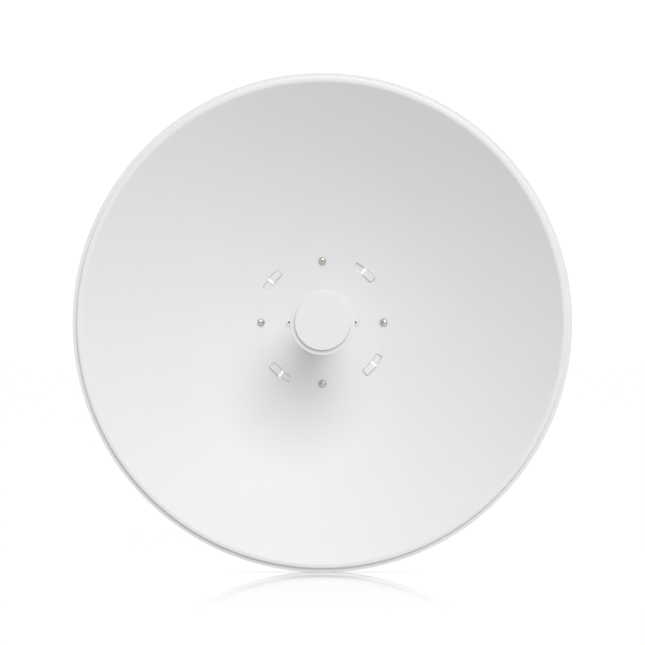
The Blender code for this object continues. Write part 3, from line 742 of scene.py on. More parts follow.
def thread(size, low, high):
    """A helical thread along Z, which runs out in a chamfer at its low end."""
    pitch = size["pitch"]
    root = size["radius"] - THREAD_DEPTH * pitch
    shape = bmesh.new()
    columns = []
    for step in range(THREAD_STEPS):
        share = step / THREAD_STEPS
        column = []
        for lap in range(math.ceil((high - low) / pitch) + 2 * SPARE_LAPS):
            for part, rise in THREAD_PROFILE:
                height = low + (lap + part + share - SPARE_LAPS) * pitch
                crest = min(size["radius"], max(root * THREAD_CORE, root - THREAD_SINK + height - low))
                radius = min(root + rise * THREAD_DEPTH * pitch, crest)
                place = (radius * math.cos(math.tau * share), radius * math.sin(math.tau * share), height)
                column.append(shape.verts.new(place))
        columns.append(column)
    columns.append(columns[0][len(THREAD_PROFILE):])
    for left, right in zip(columns, columns[1:]):
        for a, b, c, d in zip(left, left[1:], right, right[1:]):
            shape.faces.new((a, c, d, b))
    for height, side in ((low, -1), (high, 1)):
        cut_across(shape, (0, 0, height), (0, 0, side), dist=THREAD_SNAP, clear_outer=True)
    bmesh.ops.holes_fill(shape, edges=[e for e in shape.edges if e.is_boundary], sides=0)
    bmesh.ops.recalc_face_normals(shape, faces=shape.faces)
    return from_bmesh("thread", shape)


def hexagonal(flats, low, high):
    """A hexagon along Z whose corners are chamfered at both ends."""
    corner = flats / math.sqrt(3)
    flat = flats / 2 * CHAMFER_CIRCLE
    barrel = corner * BARREL
    drop = (barrel - flat) * math.tan(CHAMFER)
    profile = [(0, high), (flat, high), (barrel, high - drop), (barrel, low + drop), (flat, low), (0, low)]
    sides = arc((0, 0), corner, HEXAGON_TURN, HEXAGON_TURN + 300, 5)
    return combine(lathe(profile, 60), plate([sides], low - MARGIN, high + MARGIN), "INTERSECT")


def washer(size):
    """A washer that reaches a little way into what lies on it."""
    radius, high = size["washer_radius"], size["washer_height"] + OVERLAP
    profile = [(0, high), (radius, high, WASHER_EDGE), (radius, 0, WASHER_EDGE), (0, 0)]
    return moved(lathe(filleted(profile, 2), 64), turn(HEXAGON_TURN / 3, "Z"))


def hex_bolt(size, head, length):
    """A hexagon bolt with a washer under its head."""
    hexagon = hexagonal(size["flats"], size["washer_height"], head)
    bolt = combine(hexagon, thread(size, -length, head / 2), "UNION")
    return combine(bolt, washer(size), "UNION")


def hex_nut(size, height):
    """A nut whose bore flares at both ends."""
    bore = size["radius"] + CLEARANCE / 2
    wide = bore + NUT_FLARE
    profile = [(0, height + NUT_FLARE), (wide + NUT_FLARE, height + NUT_FLARE), (bore, height - NUT_FLARE)]
    profile += [(r, height - z) for r, z in profile[::-1]]
    return combine(hexagonal(size["flats"], 0, height), lathe(profile, 40), "DIFFERENCE")


def stand(node, out, head=0.0):
    """A place on a node's middle line, with Z along out, head below the node's end on that side."""
    low, high = dish_box(node)
    end = (low + high) / 2 + out * abs((high - low).dot(out)) / 2
    return Matrix.Translation(end - head * out) @ facing(out)


def stands(outs, head=0.0):
    """The place of each node, given its way out."""
    return {node: stand(node, out, head) for node, out in outs.items()}


def at_corners(kind, out):
    """The way out of each of the four nodes of a kind."""
    return {f"{kind}_{corner}": out for corner in CORNERS}


def at_ears(kind):
    """The way out of each bolt or nut on the ears."""
    sides = {"right": X_AXIS, "left": -X_AXIS}
    return {f"{part}_{kind}_{side}": out for part in ("pivot", "tilt") for side, out in sides.items()}


def length_along(node, out):
    low, high = dish_box(node)
    return abs((high - low).dot(out))


SCREW_HEAD_RADIUS = 0.0051
SCREW_HEAD_HEIGHT = 0.0037
SCREW_HEAD_SIDE = 0.0007
SCREW_HEAD_FOOT = 0.0002
RECESS_LENGTH = 0.0052
RECESS_WIDTH = 0.0011
RECESS_DEPTH = 0.0015
RECESS_TAPER = 0.35


def cross_recess(top):
    """The two tapered cutters of a cross, with their wide ends on Z = top."""
    blades = []
    wide = RECESS_LENGTH / math.sqrt(2)
    narrow = RECESS_LENGTH * RECESS_TAPER / math.sqrt(2)
    stretch = Matrix.Diagonal((1, RECESS_WIDTH / RECESS_LENGTH, 1, 1))
    for degrees in (0, 90):
        shape = bmesh.new()
        place = turn(degrees, "Z") @ stretch @ turn(45, "Z") @ shift(z=top - RECESS_DEPTH / 2)
        cone(shape, (narrow, wide), RECESS_DEPTH, place, 4)
        blades.append(from_bmesh("recess", shape))
    return blades


def pan_head():
    """A domed screw head, as a ball flattened on its seat."""
    rise = SCREW_HEAD_HEIGHT - SCREW_HEAD_SIDE
    crown = [(SCREW_HEAD_RADIUS * x, SCREW_HEAD_SIDE + rise * y) for x, y in arc((0, 0), 1, 90, 0, 12)]
    foot = [(SCREW_HEAD_RADIUS, SCREW_HEAD_FOOT), (SCREW_HEAD_RADIUS - SCREW_HEAD_FOOT, 0), (0, 0)]
    profile = [(0.0, crown[0][1]), *crown[1:], *foot]
    return lathe([(r, z + CLEARANCE) for r, z in profile], 48)


ARM_THICKNESS = 0.0100
ARM_NUT_HEIGHT = 0.0040
THREAD_END = 0.0030


def build_dish_screws():
    """Pan-head screws with a cross recess, and their nuts behind the hub's arms."""
    length = SHEET + ARM_THICKNESS + M5["pitch"] + ARM_NUT_HEIGHT + THREAD_END
    screw = pan_head()
    for blade in cross_recess(SCREW_HEAD_HEIGHT + 2 * CLEARANCE):
        screw = combine(screw, blade, "DIFFERENCE")
    screw = combine(screw, thread(M5, -length, SCREW_HEAD_SIDE + CLEARANCE), "UNION")
    add_copies("pan", screw, STAINLESS, SCREW_PLACES)
    sunk = SHEET + ARM_THICKNESS + 2 * CLEARANCE + ARM_NUT_HEIGHT
    places = places_on_circle("arm_nut", SCREW_CIRCLE, SCREW_ANGLES, sunk)
    add_copies("hex", hex_nut(M5, ARM_NUT_HEIGHT), STAINLESS, places)


RIVET_HEAD_RADIUS = 0.0047
RIVET_HEAD_HEIGHT = 0.0015
RIVET_BORE = 0.0017
RIVET_LENGTH = 0.0100
RIVET_BORE_EDGE = 0.0010
RIVET_OUTER_EDGE = 0.0012
RIVET_FOOT_EDGE = 0.0001


def build_hub_rivets():
    """Hollow rivets with a rolled edge."""
    profile = filleted([
        (RIVET_BORE, -RIVET_LENGTH),
        (RIVET_BORE, RIVET_HEAD_HEIGHT, RIVET_BORE_EDGE),
        (RIVET_HEAD_RADIUS, RIVET_HEAD_HEIGHT, RIVET_OUTER_EDGE),
        (RIVET_HEAD_RADIUS, 3 * CLEARANCE, RIVET_FOOT_EDGE),
        (RIVET_RADIUS, CLEARANCE),
        (RIVET_RADIUS, -RIVET_LENGTH),
    ])
    add_copies("hollow", lathe(profile, 48, ring=True), PAINT, RIVET_PLACES)


# Feed.

GROOVE_HALF_WIDTH = 0.0012
GROOVE_EDGE = 0.0003


def groove(radius, depth, sink, half_floor):
    """The rounded corners of a shallow groove round a turned profile, from its front to its rear."""
    places = [(radius, GROOVE_HALF_WIDTH), (radius - sink, half_floor)]
    places += [(out, -half) for out, half in places[::-1]]
    return [(out, depth + half, GROOVE_EDGE) for out, half in places]


TUBE_GROOVE_BEHIND_HEAD = 0.0080
TUBE_GROOVE_ABOVE_COLLAR = 0.0160
TUBE_FRONT_EDGE = 0.0004
TUBE_REAR_EDGE = 0.0015


def build_feed_tube():
    """Straight tube with a shallow groove under the head and another above the collar."""
    rear, front = depths("feed_tube")
    radius = reach("feed_tube")
    corners = [(0, front), (radius, front, TUBE_FRONT_EDGE)]
    for depth in (front - TUBE_GROOVE_BEHIND_HEAD, TUBE_GROOVE_ABOVE_COLLAR):
        corners += groove(radius, depth, sink=0.0007, half_floor=0.0006)
    corners += [(radius, rear, TUBE_REAR_EDGE), (0, rear)]
    add_piece("feed_tube_moulding", lathe(filleted(corners), 128), PLASTIC, "feed_tube")


COLLAR_INNER_EDGE = 0.0008
COLLAR_OUTER_EDGE = 0.0040
COLLAR_STEP = 0.0030


def build_feed_collar():
    """Moulded ring whose foot follows the dish."""
    bore = reach("feed_tube") + CLEARANCE
    radius = reach("feed_collar")
    top = depths("feed_collar")[1]
    upper = [(bore, surface(bore)), (bore, top, COLLAR_INNER_EDGE)]
    upper += [(radius, top, COLLAR_OUTER_EDGE), (radius, surface(radius))]
    foot = [(r, surface(r) + CLEARANCE) for r in spread(bore, radius, COLLAR_STEP)]
    profile = [(bore, top - MARGIN), *filleted(upper)[1:-1], *foot[::-1]]
    add_piece("feed_collar_ring", lathe(profile, 128, ring=True), PLASTIC, "feed_collar")


HEAD_FLANGE_REAR = 0.1675
HEAD_SET_BACK = 0.0010
HEAD_SEAT_MARGIN = 0.0016
HEAD_SEAT_EDGE = 0.0002
HEAD_FRONT_EDGE = 0.0008
HEAD_FLANGE_EDGE = 0.0015
HEAD_FLANGE_FOOT = (0.0365, HEAD_FLANGE_REAR, 0.0020)
HEAD_FLARE_FRONT = (0.0345, 0.1590, 0.0100)
HEAD_FLARE_REAR = (0.0270, 0.1470, 0.0100)
HEAD_REAR_EDGE = 0.0004


def build_feed_head():
    """Flared head with a raised seat for the cap and a flange that shows round it."""
    rear, seat = depths("feed_head")
    seat_radius = reach("feed_cap") - HEAD_SEAT_MARGIN
    front = seat - HEAD_SET_BACK
    radius = reach("feed_head")
    profile = filleted([
        (0, seat),
        (seat_radius, seat, HEAD_SEAT_EDGE),
        (seat_radius, front),
        (radius, front, HEAD_FRONT_EDGE),
        (radius, HEAD_FLANGE_REAR, HEAD_FLANGE_EDGE),
        HEAD_FLANGE_FOOT,
        HEAD_FLARE_FRONT,
        HEAD_FLARE_REAR,
        (HEAD_FLARE_REAR[0], rear, HEAD_REAR_EDGE),
        (0, rear),
    ])
    add_piece("feed_head_flare", lathe(profile, 160), PLASTIC, "feed_head")


CAP_FRONT_EDGE = 0.0005
CAP_REAR_EDGE = 0.0002


def build_feed_cap():
    """Flat cap with a crisp edge."""
    rear, front = depths("feed_cap")
    radius = reach("feed_cap")
    profile = [(0, front), (radius, front, CAP_FRONT_EDGE), (radius, rear, CAP_REAR_EDGE), (0, rear)]
    add_piece("feed_cap_cover", lathe(filleted(profile), 160), CAP_PLASTIC, "feed_cap")


# Hub and feed socket.

HUB_BORE = 0.0305
HUB_RADIUS = 0.0660
HUB_SHOULDER = 0.0670
HUB_STEP = 0.0040
ARM_ROOT = 0.0710
ARM_REACH = 0.0980
ARM_WIDTH = 0.0300
ARM_TIP_ROUND = 0.99
ARM_FOOT_ROUND = 0.0060
TAPPED_DEPTH = 0.0200
CAST_VOXEL = 0.0012
CAST_ROUNDS = 5


def hub_outline():
    """The hub's disc with its four round-ended arms."""
    half = ARM_WIDTH / 2
    foot = math.degrees(math.asin(half / HUB_RADIUS))
    root = (HUB_RADIUS * math.cos(math.radians(foot)), half)
    disc = arc((0, 0), HUB_RADIUS, foot, 90 - foot, 6)[1:-1]
    tip = [(ARM_REACH, side * half, half * ARM_TIP_ROUND) for side in (-1, 1)]
    corners = []
    for quarter in range(4):
        for x, y, *rest in [*tip, (*root, ARM_FOOT_ROUND), *disc, (*root[::-1], ARM_FOOT_ROUND)]:
            turned = turn(90 * quarter, "Z") @ Vector((x, y, 0))
            corners.append((turned.x, turned.y, *rest))
    return filleted(corners, 8, closed=True)


def behind_dish(radius, sunk):
    """A (radius, depth) place straight behind the reflector's front, sunk below it."""
    tilt = slope(radius)
    return radius + sunk * math.sin(tilt), surface(radius) - sunk * math.cos(tilt)


def build_hub():
    """Casting that follows the dish's rear, with arms that slope as the dish does."""
    hub_rear = depths("rear_hub")[0]
    sunk = SHEET + CLEARANCE
    front = [behind_dish(r, sunk) for r in spread(HUB_BORE, ARM_REACH + HUB_STEP, HUB_STEP)]
    seat = behind_dish(SCREW_CIRCLE, sunk + ARM_THICKNESS)
    tilt = math.tan(slope(SCREW_CIRCLE))
    back = [(r, seat[1] + (r - seat[0]) * tilt) for r in (front[-1][0], ARM_ROOT)]
    body = lathe([*front, *back, (HUB_SHOULDER, hub_rear), (HUB_BORE, hub_rear)], 160, ring=True)
    arms = plate([hub_outline()], hub_rear - MARGIN, front[-1][1] + MARGIN)
    hub = melted(combine(body, arms, "INTERSECT"), CAST_VOXEL, CAST_ROUNDS)
    drill_for_dish(hub)
    bolts = stands(at_corners("yoke_bolt", Z_AXIS)).values()
    drill(hub, M6["radius"] + CLEARANCE, bolts, low=-TAPPED_DEPTH, high=CLEARANCE)
    add_piece("rear_hub_casting", hub, CAST_METAL, "rear_hub")


SOCKET_RADIUS = 0.0350
SOCKET_GROOVES = (-0.0300, -0.0480)
SOCKET_END_EDGE = 0.0040
SOCKET_EDGE = 0.0010
NECK_EDGE = 0.0006
RECESS_FLOOR_RADIUS = 0.0258
RECESS_MOUTH_RADIUS = 0.0265
RECESS_EDGE = 0.0005
RECESS_SINK = 0.0012
PORT_HALF_WIDTH = 0.0160
PORT_FRONT = -0.0200
PORT_REAR = -0.0580
PORT_TOP = -0.0280
PORT_BOTTOM = -0.0420
PORT_EDGE = 0.0015


def build_socket():
    """Socket round the rear of the feed, with a port box under it and a recess in its end."""
    rear, front = depths("feed_socket")
    neck = HUB_BORE - CLEARANCE
    bore = reach("feed_tube") + CLEARANCE
    floor = depths("feed_tube")[0] - CLEARANCE
    shoulder = depths("rear_hub")[0] - CLEARANCE
    corners = [(0, floor), (bore, floor), (bore, front), (neck, front, NECK_EDGE), (neck, shoulder)]
    corners.append((SOCKET_RADIUS, shoulder, SOCKET_EDGE))
    for depth in SOCKET_GROOVES:
        corners += groove(SOCKET_RADIUS, depth, sink=0.0006, half_floor=0.0007)
    corners += [(SOCKET_RADIUS, rear, SOCKET_END_EDGE), (RECESS_MOUTH_RADIUS, rear, RECESS_EDGE)]
    corners += [(RECESS_FLOOR_RADIUS, rear + RECESS_SINK, RECESS_EDGE), (0, rear + RECESS_SINK)]
    low = (-PORT_HALF_WIDTH, PORT_BOTTOM, PORT_REAR)
    port = rounded_block(low, (PORT_HALF_WIDTH, PORT_TOP, PORT_FRONT), PORT_EDGE)
    socket = combine(lathe(filleted(corners), 128), port, "UNION")
    add_piece("feed_socket_moulding", socket, PLASTIC, "feed_socket")


LID_HALF_WIDTH = 0.0140
LID_HALF_LENGTH = 0.0170
LID_CORNER = 0.0040
LID_EDGE = 0.0008
LID_SCREW_RADIUS = 0.0017
LID_SCREW_HEIGHT = 0.0005
LID_SCREW_EDGE = 0.0004
LID_SCREW_INSET = 0.0032


def build_port_cover():
    """Lid under the port with its four small screws."""
    low, high = dish_box("port_cover")
    seat = shift(y=high.y, z=(low.z + high.z) / 2) @ turn(90, "X")
    thickness = high.y - low.y
    outline = filleted(four_quarters([(LID_HALF_WIDTH, LID_HALF_LENGTH, LID_CORNER)]), closed=True)
    lid = softened(plate([outline], 0, thickness), LID_EDGE, 3)
    add_piece("port_lid", lid, PLASTIC, "port_cover", place=seat)
    top, radius = LID_SCREW_HEIGHT, LID_SCREW_RADIUS
    screw = lathe(filleted([(0, top), (radius, top, LID_SCREW_EDGE), (radius, 0), (0, 0)], 4), 32)
    corner = (LID_HALF_WIDTH - LID_SCREW_INSET, LID_HALF_LENGTH - LID_SCREW_INSET)
    for letter, (x, y) in zip("abcd", four_quarters([corner])):
        copy = linked("lid_screw", screw.data.copy())
        place = seat @ shift(x, y, thickness)
        add_piece(f"lid_screw_{letter}", copy, STAINLESS, place=place).modifiers.clear()
    bpy.data.objects.remove(screw, do_unlink=True)


GLAND_FLATS = 0.0160
GLAND_FLANGE = 0.0050
GLAND_RADIUS = 0.0070
GLAND_DOME = 0.0028
GLAND_BORE = 0.0035
GLAND_BORE_DEPTH = 0.0070
GLAND_FLUTES = 14
FLUTE_TURN = 1.3
FLUTE_RADIUS = 0.0009
FLUTE_CENTRE = GLAND_RADIUS + 0.0004
FLUTE_START = GLAND_FLANGE + 0.0008


def build_gland():
    """Hexagonal body, and a dome nut with flutes and a deep bore."""
    length = length_along("cable_gland", Y_AXIS)
    dome = [(0, length), (GLAND_RADIUS, length, GLAND_DOME), (GLAND_RADIUS, MARGIN), (0, MARGIN)]
    nut = lathe(filleted(dome), 84)
    out = shift(FLUTE_CENTRE)
    flutes = [turn(360 * i / GLAND_FLUTES + FLUTE_TURN, "Z") @ out for i in range(GLAND_FLUTES)]
    nut = drill(nut, FLUTE_RADIUS, flutes, low=FLUTE_START, high=length + MARGIN, steps=16)
    gland = combine(hexagonal(GLAND_FLATS, 0, GLAND_FLANGE), nut, "UNION")
    floor = length - GLAND_BORE_DEPTH
    gland = drill(gland, GLAND_BORE, [Matrix.Identity(4)], low=floor, high=length + MARGIN)
    place = stand("cable_gland", -Y_AXIS, length)
    add_piece("fluted_cable_gland", gland, BLACK_PLASTIC, "cable_gland", place=place)


# Folded steel, cut flat and then bent.

STEEL = 0.0030
BEND = 0.0060
BEND_STEPS = 10
BEND_SNAP = 1e-7
STEEL_EDGE = 0.00035


def along_sheet(flat_half, depth):
    """The flat sheet's place for a depth below the web, past a bend that starts at flat_half."""
    if depth >= BEND:
        return flat_half + BEND * math.pi / 2 + depth - BEND
    return flat_half + BEND * math.acos(1 - depth / BEND)


def bent(flat_half, place, sunk):
    """Where a bent sheet's point lies across and below the web, sunk below the sheet's outer face."""
    run = abs(place) - flat_half
    if run <= 0:
        return place, sunk
    angle = min(run / BEND, math.pi / 2)
    straight = max(0, run - BEND * math.pi / 2)
    across = flat_half + (BEND - sunk) * math.sin(angle)
    return math.copysign(across, place), BEND - (BEND - sunk) * math.cos(angle) + straight


def folded(outlines, half_width):
    """A channel along Y with its web's outside on Z = 0 and its walls towards +Z."""
    flat_half = half_width - BEND
    flat = flat_faces(outlines)
    for side in (-1, 1):
        for step in range(BEND_STEPS + 1):
            line = side * (flat_half + BEND * math.pi / 2 * step / BEND_STEPS)
            cut_across(flat, (line, 0, 0), (1, 0, 0), dist=BEND_SNAP)

    def face(sunk):
        def point(place, along):
            across, below = bent(flat_half, place, sunk)
            return across, along, below
        return point

    return softened(thickened(flat, face(0), face(STEEL)), STEEL_EDGE)


def slot_outline(pivot, radius, travel, half_width):
    """A slot of even width that swings about a pivot, below it."""
    low, high = -90 - travel, -90 + travel
    first, last = arc(pivot, radius, low, high, 1)
    outer = arc(pivot, radius + half_width, low, high, 16)
    inner = arc(pivot, radius - half_width, high, low, 16)
    far_end = arc(last, half_width, high, high + 180, 12)[1:-1]
    near_end = arc(first, half_width, low + 180, low + 360, 12)[1:-1]
    return outer + far_end + inner + near_end


def bolt_holes(kind, radius, place=Matrix.Identity(4)):
    """Outlines of the holes for the four bolts of a kind, turned as the sheet is."""
    centres = [place @ bolt.translation for bolt in stands(at_corners(kind, Z_AXIS)).values()]
    return [circle((centre.x, centre.y), radius) for centre in centres]


YOKE_HALF_WIDTH = reach("yoke")
YOKE_HALF_HEIGHT = 0.0460
YOKE_SHOULDER = -0.0220
YOKE_NECK = -0.0440
YOKE_CORNER = 0.0080
SOCKET_OPENING = 0.0365
EAR_HALF_HEIGHT = 0.0300
EAR_CORNER = 0.0100
TILT_TRAVEL = 18
HOLE_M8 = 0.0043
HOLE_M6 = 0.0033


def ear_holes(front, half_width):
    """Centres of the pivot and tilt holes, on both walls of a flat channel whose web starts at front."""
    pivot = stand("pivot_bolt_right", X_AXIS).translation
    tilt = stand("tilt_bolt_right", X_AXIS).translation
    place = along_sheet(half_width - BEND, abs(front - pivot.z))
    return [((side * place, pivot.y), (side * place, tilt.y)) for side in (1, -1)]


def build_yoke():
    """Plate behind the hub, with a slotted ear on each side."""
    rear, front = depths("yoke")
    quarter = [
        (rear, EAR_HALF_HEIGHT, EAR_CORNER),
        (YOKE_NECK, EAR_HALF_HEIGHT, YOKE_CORNER),
        (YOKE_SHOULDER, YOKE_HALF_HEIGHT, YOKE_CORNER),
    ]
    quarter = [(along_sheet(YOKE_HALF_WIDTH - BEND, front - z), y, r) for z, y, r in quarter]
    outlines = [filleted(four_quarters(quarter), 8, closed=True), circle((0, 0), SOCKET_OPENING, 96)]
    outlines += bolt_holes("yoke_bolt", HOLE_M6)
    for pivot, tilt in ear_holes(front, YOKE_HALF_WIDTH):
        outlines.append(circle(pivot, HOLE_M8))
        outlines.append(slot_outline(pivot, pivot[1] - tilt[1], TILT_TRAVEL, HOLE_M8))
    yoke = folded(outlines, YOKE_HALF_WIDTH)
    add_piece("yoke_plate", yoke, GALVANISED, "yoke", place=shift(z=front) @ turn(180, "Y"))


POLE_HALF_WIDTH = reach("clamp_jaw")
POLE_HALF_HEIGHT = 0.0450
JAW_DEPTH = 0.0280
JAW_CORNER = 0.0040
NOTCH_POINT = 0.0040
NOTCH_HALF_WIDTH = 0.0360
NOTCH_DEPTH = 0.0245
NOTCH_TEETH = 6
TOOTH_DEPTH = 0.0015


def notched_outlines():
    """The clamp's channel laid flat, with a toothed V in each wall and its four bolt holes."""
    flat_half = POLE_HALF_HEIGHT - BEND
    edge = Vector((NOTCH_HALF_WIDTH, NOTCH_DEPTH))
    valley = Vector((edge.y, -edge.x)).normalized() * TOOTH_DEPTH
    mouth = (JAW_DEPTH - NOTCH_POINT) / NOTCH_DEPTH
    side = [Vector((0, 0))]
    for tooth in range(NOTCH_TEETH):
        side.append(edge * ((tooth + 0.5) / NOTCH_TEETH) + valley)
        side.append(edge * min(mouth, (tooth + 1) / NOTCH_TEETH))
    teeth = [(along_sheet(flat_half, below + NOTCH_POINT), across) for across, below in side]
    end = along_sheet(flat_half, JAW_DEPTH)
    half = [(end, -POLE_HALF_WIDTH, JAW_CORNER)]
    half += [(place, -across) for place, across in teeth[:0:-1]]
    half += [*teeth, (end, POLE_HALF_WIDTH, JAW_CORNER)]
    return [filleted(mirrored(half), closed=True), *bolt_holes("clamp_bolt", HOLE_M8, turn(-90, "Z"))]


WELD_DEPTH = 0.0005
BEAD_RADIUS = 0.0018
BEAD_RISE = 0.0004
BEAD_OFFSET = 0.0008
BEAD_STEP = 0.0004
BEAD_END = 0.02
RIPPLE_PITCH = 0.0018
RIPPLE_SHARE = 0.09
UNEVEN_SHARE = 0.04
UNEVEN_RATE = 900


def weld_bead(start, end, radius):
    """A bead with the ripples of a hand weld, along the way from start to end."""
    way = Vector(end) - Vector(start)
    shape = bmesh.new()
    rings = []
    for height in spread(0, way.length, BEAD_STEP):
        ripple = 1 + RIPPLE_SHARE * abs(math.sin(height / RIPPLE_PITCH * math.pi))
        ripple += UNEVEN_SHARE * math.sin(height * UNEVEN_RATE)
        from_end = min(height, way.length - height) / radius
        taper = math.sqrt(max(BEAD_END, 1 - max(0, 1 - from_end) ** 2))
        outline = circle((0, 0), radius * ripple * taper, 16)
        rings.append([shape.verts.new((*point, height)) for point in outline])
    for near, far in zip(rings, rings[1:]):
        for a, b, c, d in zip(near, near[1:] + near[:1], far, far[1:] + far[:1]):
            shape.faces.new((a, b, d, c))
    shape.faces.new(rings[0][::-1])
    shape.faces.new(rings[-1])
    return moved(from_bmesh("weld", shape), Matrix.Translation(start) @ facing(way))


BRACKET_HALF_WIDTH = YOKE_HALF_WIDTH - STEEL - CLEARANCE


def build_pole_bracket():
    """A clamp channel that looks at the pole, and the ears' channel welded on its front."""
    clamp_web = STEEL + VERTEX_Y
    place = shift(z=clamp_web) @ turn(180, "Y") @ turn(90, "Z")
    clamp = folded(notched_outlines(), POLE_HALF_HEIGHT)
    add_piece("bracket_clamp", clamp, GALVANISED, "pole_bracket", place=place)
    web = clamp_web - WELD_DEPTH
    end = along_sheet(BRACKET_HALF_WIDTH - BEND, depths("pole_bracket")[1] - web)
    outlines = [filleted(four_quarters([(end, EAR_HALF_HEIGHT, EAR_CORNER)]), 8, closed=True)]
    for pivot, tilt in ear_holes(web, BRACKET_HALF_WIDTH):
        outlines += [circle(pivot, HOLE_M8), circle(tilt, HOLE_M8)]
    walls = folded(outlines + bolt_holes("clamp_bolt", HOLE_M8), BRACKET_HALF_WIDTH)
    add_piece("bracket_ears", walls, GALVANISED, "pole_bracket", place=shift(z=web))
    across, depth = BRACKET_HALF_WIDTH - BEND, clamp_web + BEAD_RISE
    for name, side in (("upper", 1), ("lower", -1)):
        height = side * (EAR_HALF_HEIGHT + BEAD_OFFSET)
        bead = weld_bead((-across, height, depth), (across, height, depth), BEAD_RADIUS)
        add_piece(f"bracket_weld_{name}", bead, GALVANISED, "pole_bracket")


def build_clamp_jaw():
    """A clamp channel behind the pole, which looks forwards."""
    place = shift(z=depths("clamp_jaw")[0]) @ turn(90, "Z")
    jaw = folded(notched_outlines(), POLE_HALF_HEIGHT)
    add_piece("clamp_jaw_plate", jaw, GALVANISED, "clamp_jaw", place=place)


YOKE_BOLT_HEAD = 0.0040
EAR_BOLT_HEAD = 0.0053
COACH_RADIUS = 0.0086
COACH_HEIGHT = 0.0044
COACH_EDGE = 0.0002


def build_yoke_bolts():
    """The hexagon bolts from the yoke into the hub."""
    length = length_along("yoke_bolt_upper_right", Z_AXIS) - YOKE_BOLT_HEAD
    places = stands(at_corners("yoke_bolt", -Z_AXIS), YOKE_BOLT_HEAD)
    add_copies("threaded", hex_bolt(M6, YOKE_BOLT_HEAD, length), STAINLESS, places)


def build_ear_bolts():
    """The hexagon bolts that join the yoke's ears to the bracket, and their nuts."""
    length = length_along("pivot_bolt_right", X_AXIS) - EAR_BOLT_HEAD
    places = stands(at_ears("bolt"), EAR_BOLT_HEAD)
    add_copies("threaded", hex_bolt(M8, EAR_BOLT_HEAD, length), STAINLESS, places)
    height = length_along("pivot_nut_right", X_AXIS)
    add_copies("hex", hex_nut(M8, height), STAINLESS, stands(at_ears("nut"), height))


def build_coach_bolts():
    """Round-headed bolts from the bracket through the jaw, with washers and nuts behind it."""
    length = length_along("clamp_bolt_upper_right", Z_AXIS) - COACH_HEIGHT
    ball = (COACH_RADIUS ** 2 + COACH_HEIGHT ** 2) / (2 * COACH_HEIGHT)
    half_angle = math.degrees(math.asin(COACH_RADIUS / ball))
    crown = arc((0, COACH_HEIGHT - ball), ball, 90, 90 - half_angle, 12)
    foot = [(COACH_RADIUS, COACH_EDGE), (COACH_RADIUS, 0), (0, 0)]
    head = lathe([(0.0, COACH_HEIGHT), *crown[1:-1], *foot], 64)
    bolt = combine(head, thread(M8, -length, COACH_HEIGHT / 2), "UNION")
    add_copies("threaded", bolt, GALVANISED, stands(at_corners("clamp_bolt", Z_AXIS), COACH_HEIGHT))
    height = length_along("clamp_nut_upper_right", Z_AXIS)
    seat = M8["washer_height"]
    nut = moved(hex_nut(M8, height - seat), shift(z=seat))
    ring = drill(washer(M8), M8["radius"] + CLEARANCE, [Matrix.Identity(4)])
    places = stands(at_corners("clamp_nut", -Z_AXIS), height)
    add_copies("hex", combine(nut, ring, "UNION"), GALVANISED, places)


build_reflector()
build_dish_screws()
build_hub_rivets()
build_feed_tube()
build_feed_collar()
build_feed_head()
build_feed_cap()
build_hub()
build_socket()
build_port_cover()
build_gland()
build_yoke()
build_pole_bracket()
build_clamp_jaw()
build_yoke_bolts()
build_ear_bolts()
build_coach_bolts()


# Studio: a white floor that mirrors what stands on it and has a painted contact shadow, soft light all
# round and a large soft key.

AMBIENT = 0.39
ZENITH = 0.895
NADIR = 0.69
SIDE_LIGHT = 0.115
BACKDROP = 1.04
BACKDROP_ENDS = (0.3, 0.8)
KEY_POWER = 133.0
KEY_DISTANCE = 5.0
KEY_SIZE = 3.8
KEY_TILT = math.radians(36)
KEY_TURN = math.radians(69)
DISH_CENTRE = Vector((0, VERTEX_Y - RIM_DEPTH / 2, 0))


def build_key():
    """A large round light in front of the dish, to the upper right."""
    light = bpy.data.lights.new("key", "AREA")
    light.shape = "DISK"
    light.size = KEY_SIZE
    light.energy = KEY_POWER
    key = linked("key", light)
    side, ahead = math.sin(KEY_TILT), math.cos(KEY_TILT)
    out = Vector((side * math.cos(KEY_TURN), -ahead, side * math.sin(KEY_TURN)))
    key.location = DISH_CENTRE + out * KEY_DISTANCE
    key.rotation_euler = facing(out).to_euler()


def build_world():
    """Soft light, more from above, below and the right than from the left. The backdrop is plain white."""
    world = bpy.data.worlds.new("studio")
    bpy.context.scene.world = world
    nodes = Nodes(world)
    way = nodes.add("ShaderNodeTexCoord").outputs["Generated"]
    right, back, up = nodes.add("ShaderNodeSeparateXYZ", {"Vector": way}).outputs

    def mixed(factor, low, high):
        return nodes.add("ShaderNodeMix", {"Factor": factor, "A": low, "B": high}).outputs["Result"]

    below = nodes.between(up, NADIR, AMBIENT, (-1, 0))
    front = mixed(nodes.between(up, 0, 1, (0, 1)), below, ZENITH)
    side = nodes.between(right, 0, SIDE_LIGHT, (0, 1))
    sided = nodes.add("ShaderNodeMath", {0: front, 1: side}).outputs["Value"]
    behind = nodes.between(back, 0, 1, BACKDROP_ENDS, interpolation_type="SMOOTHSTEP")
    lit = mixed(behind, sided, BACKDROP)
    strength = mixed(nodes.add("ShaderNodeLightPath").outputs["Is Camera Ray"], lit, BACKDROP)
    nodes.feed(nodes.tree.nodes["Background"], {"Color": (1, 1, 1, 1), "Strength": strength})


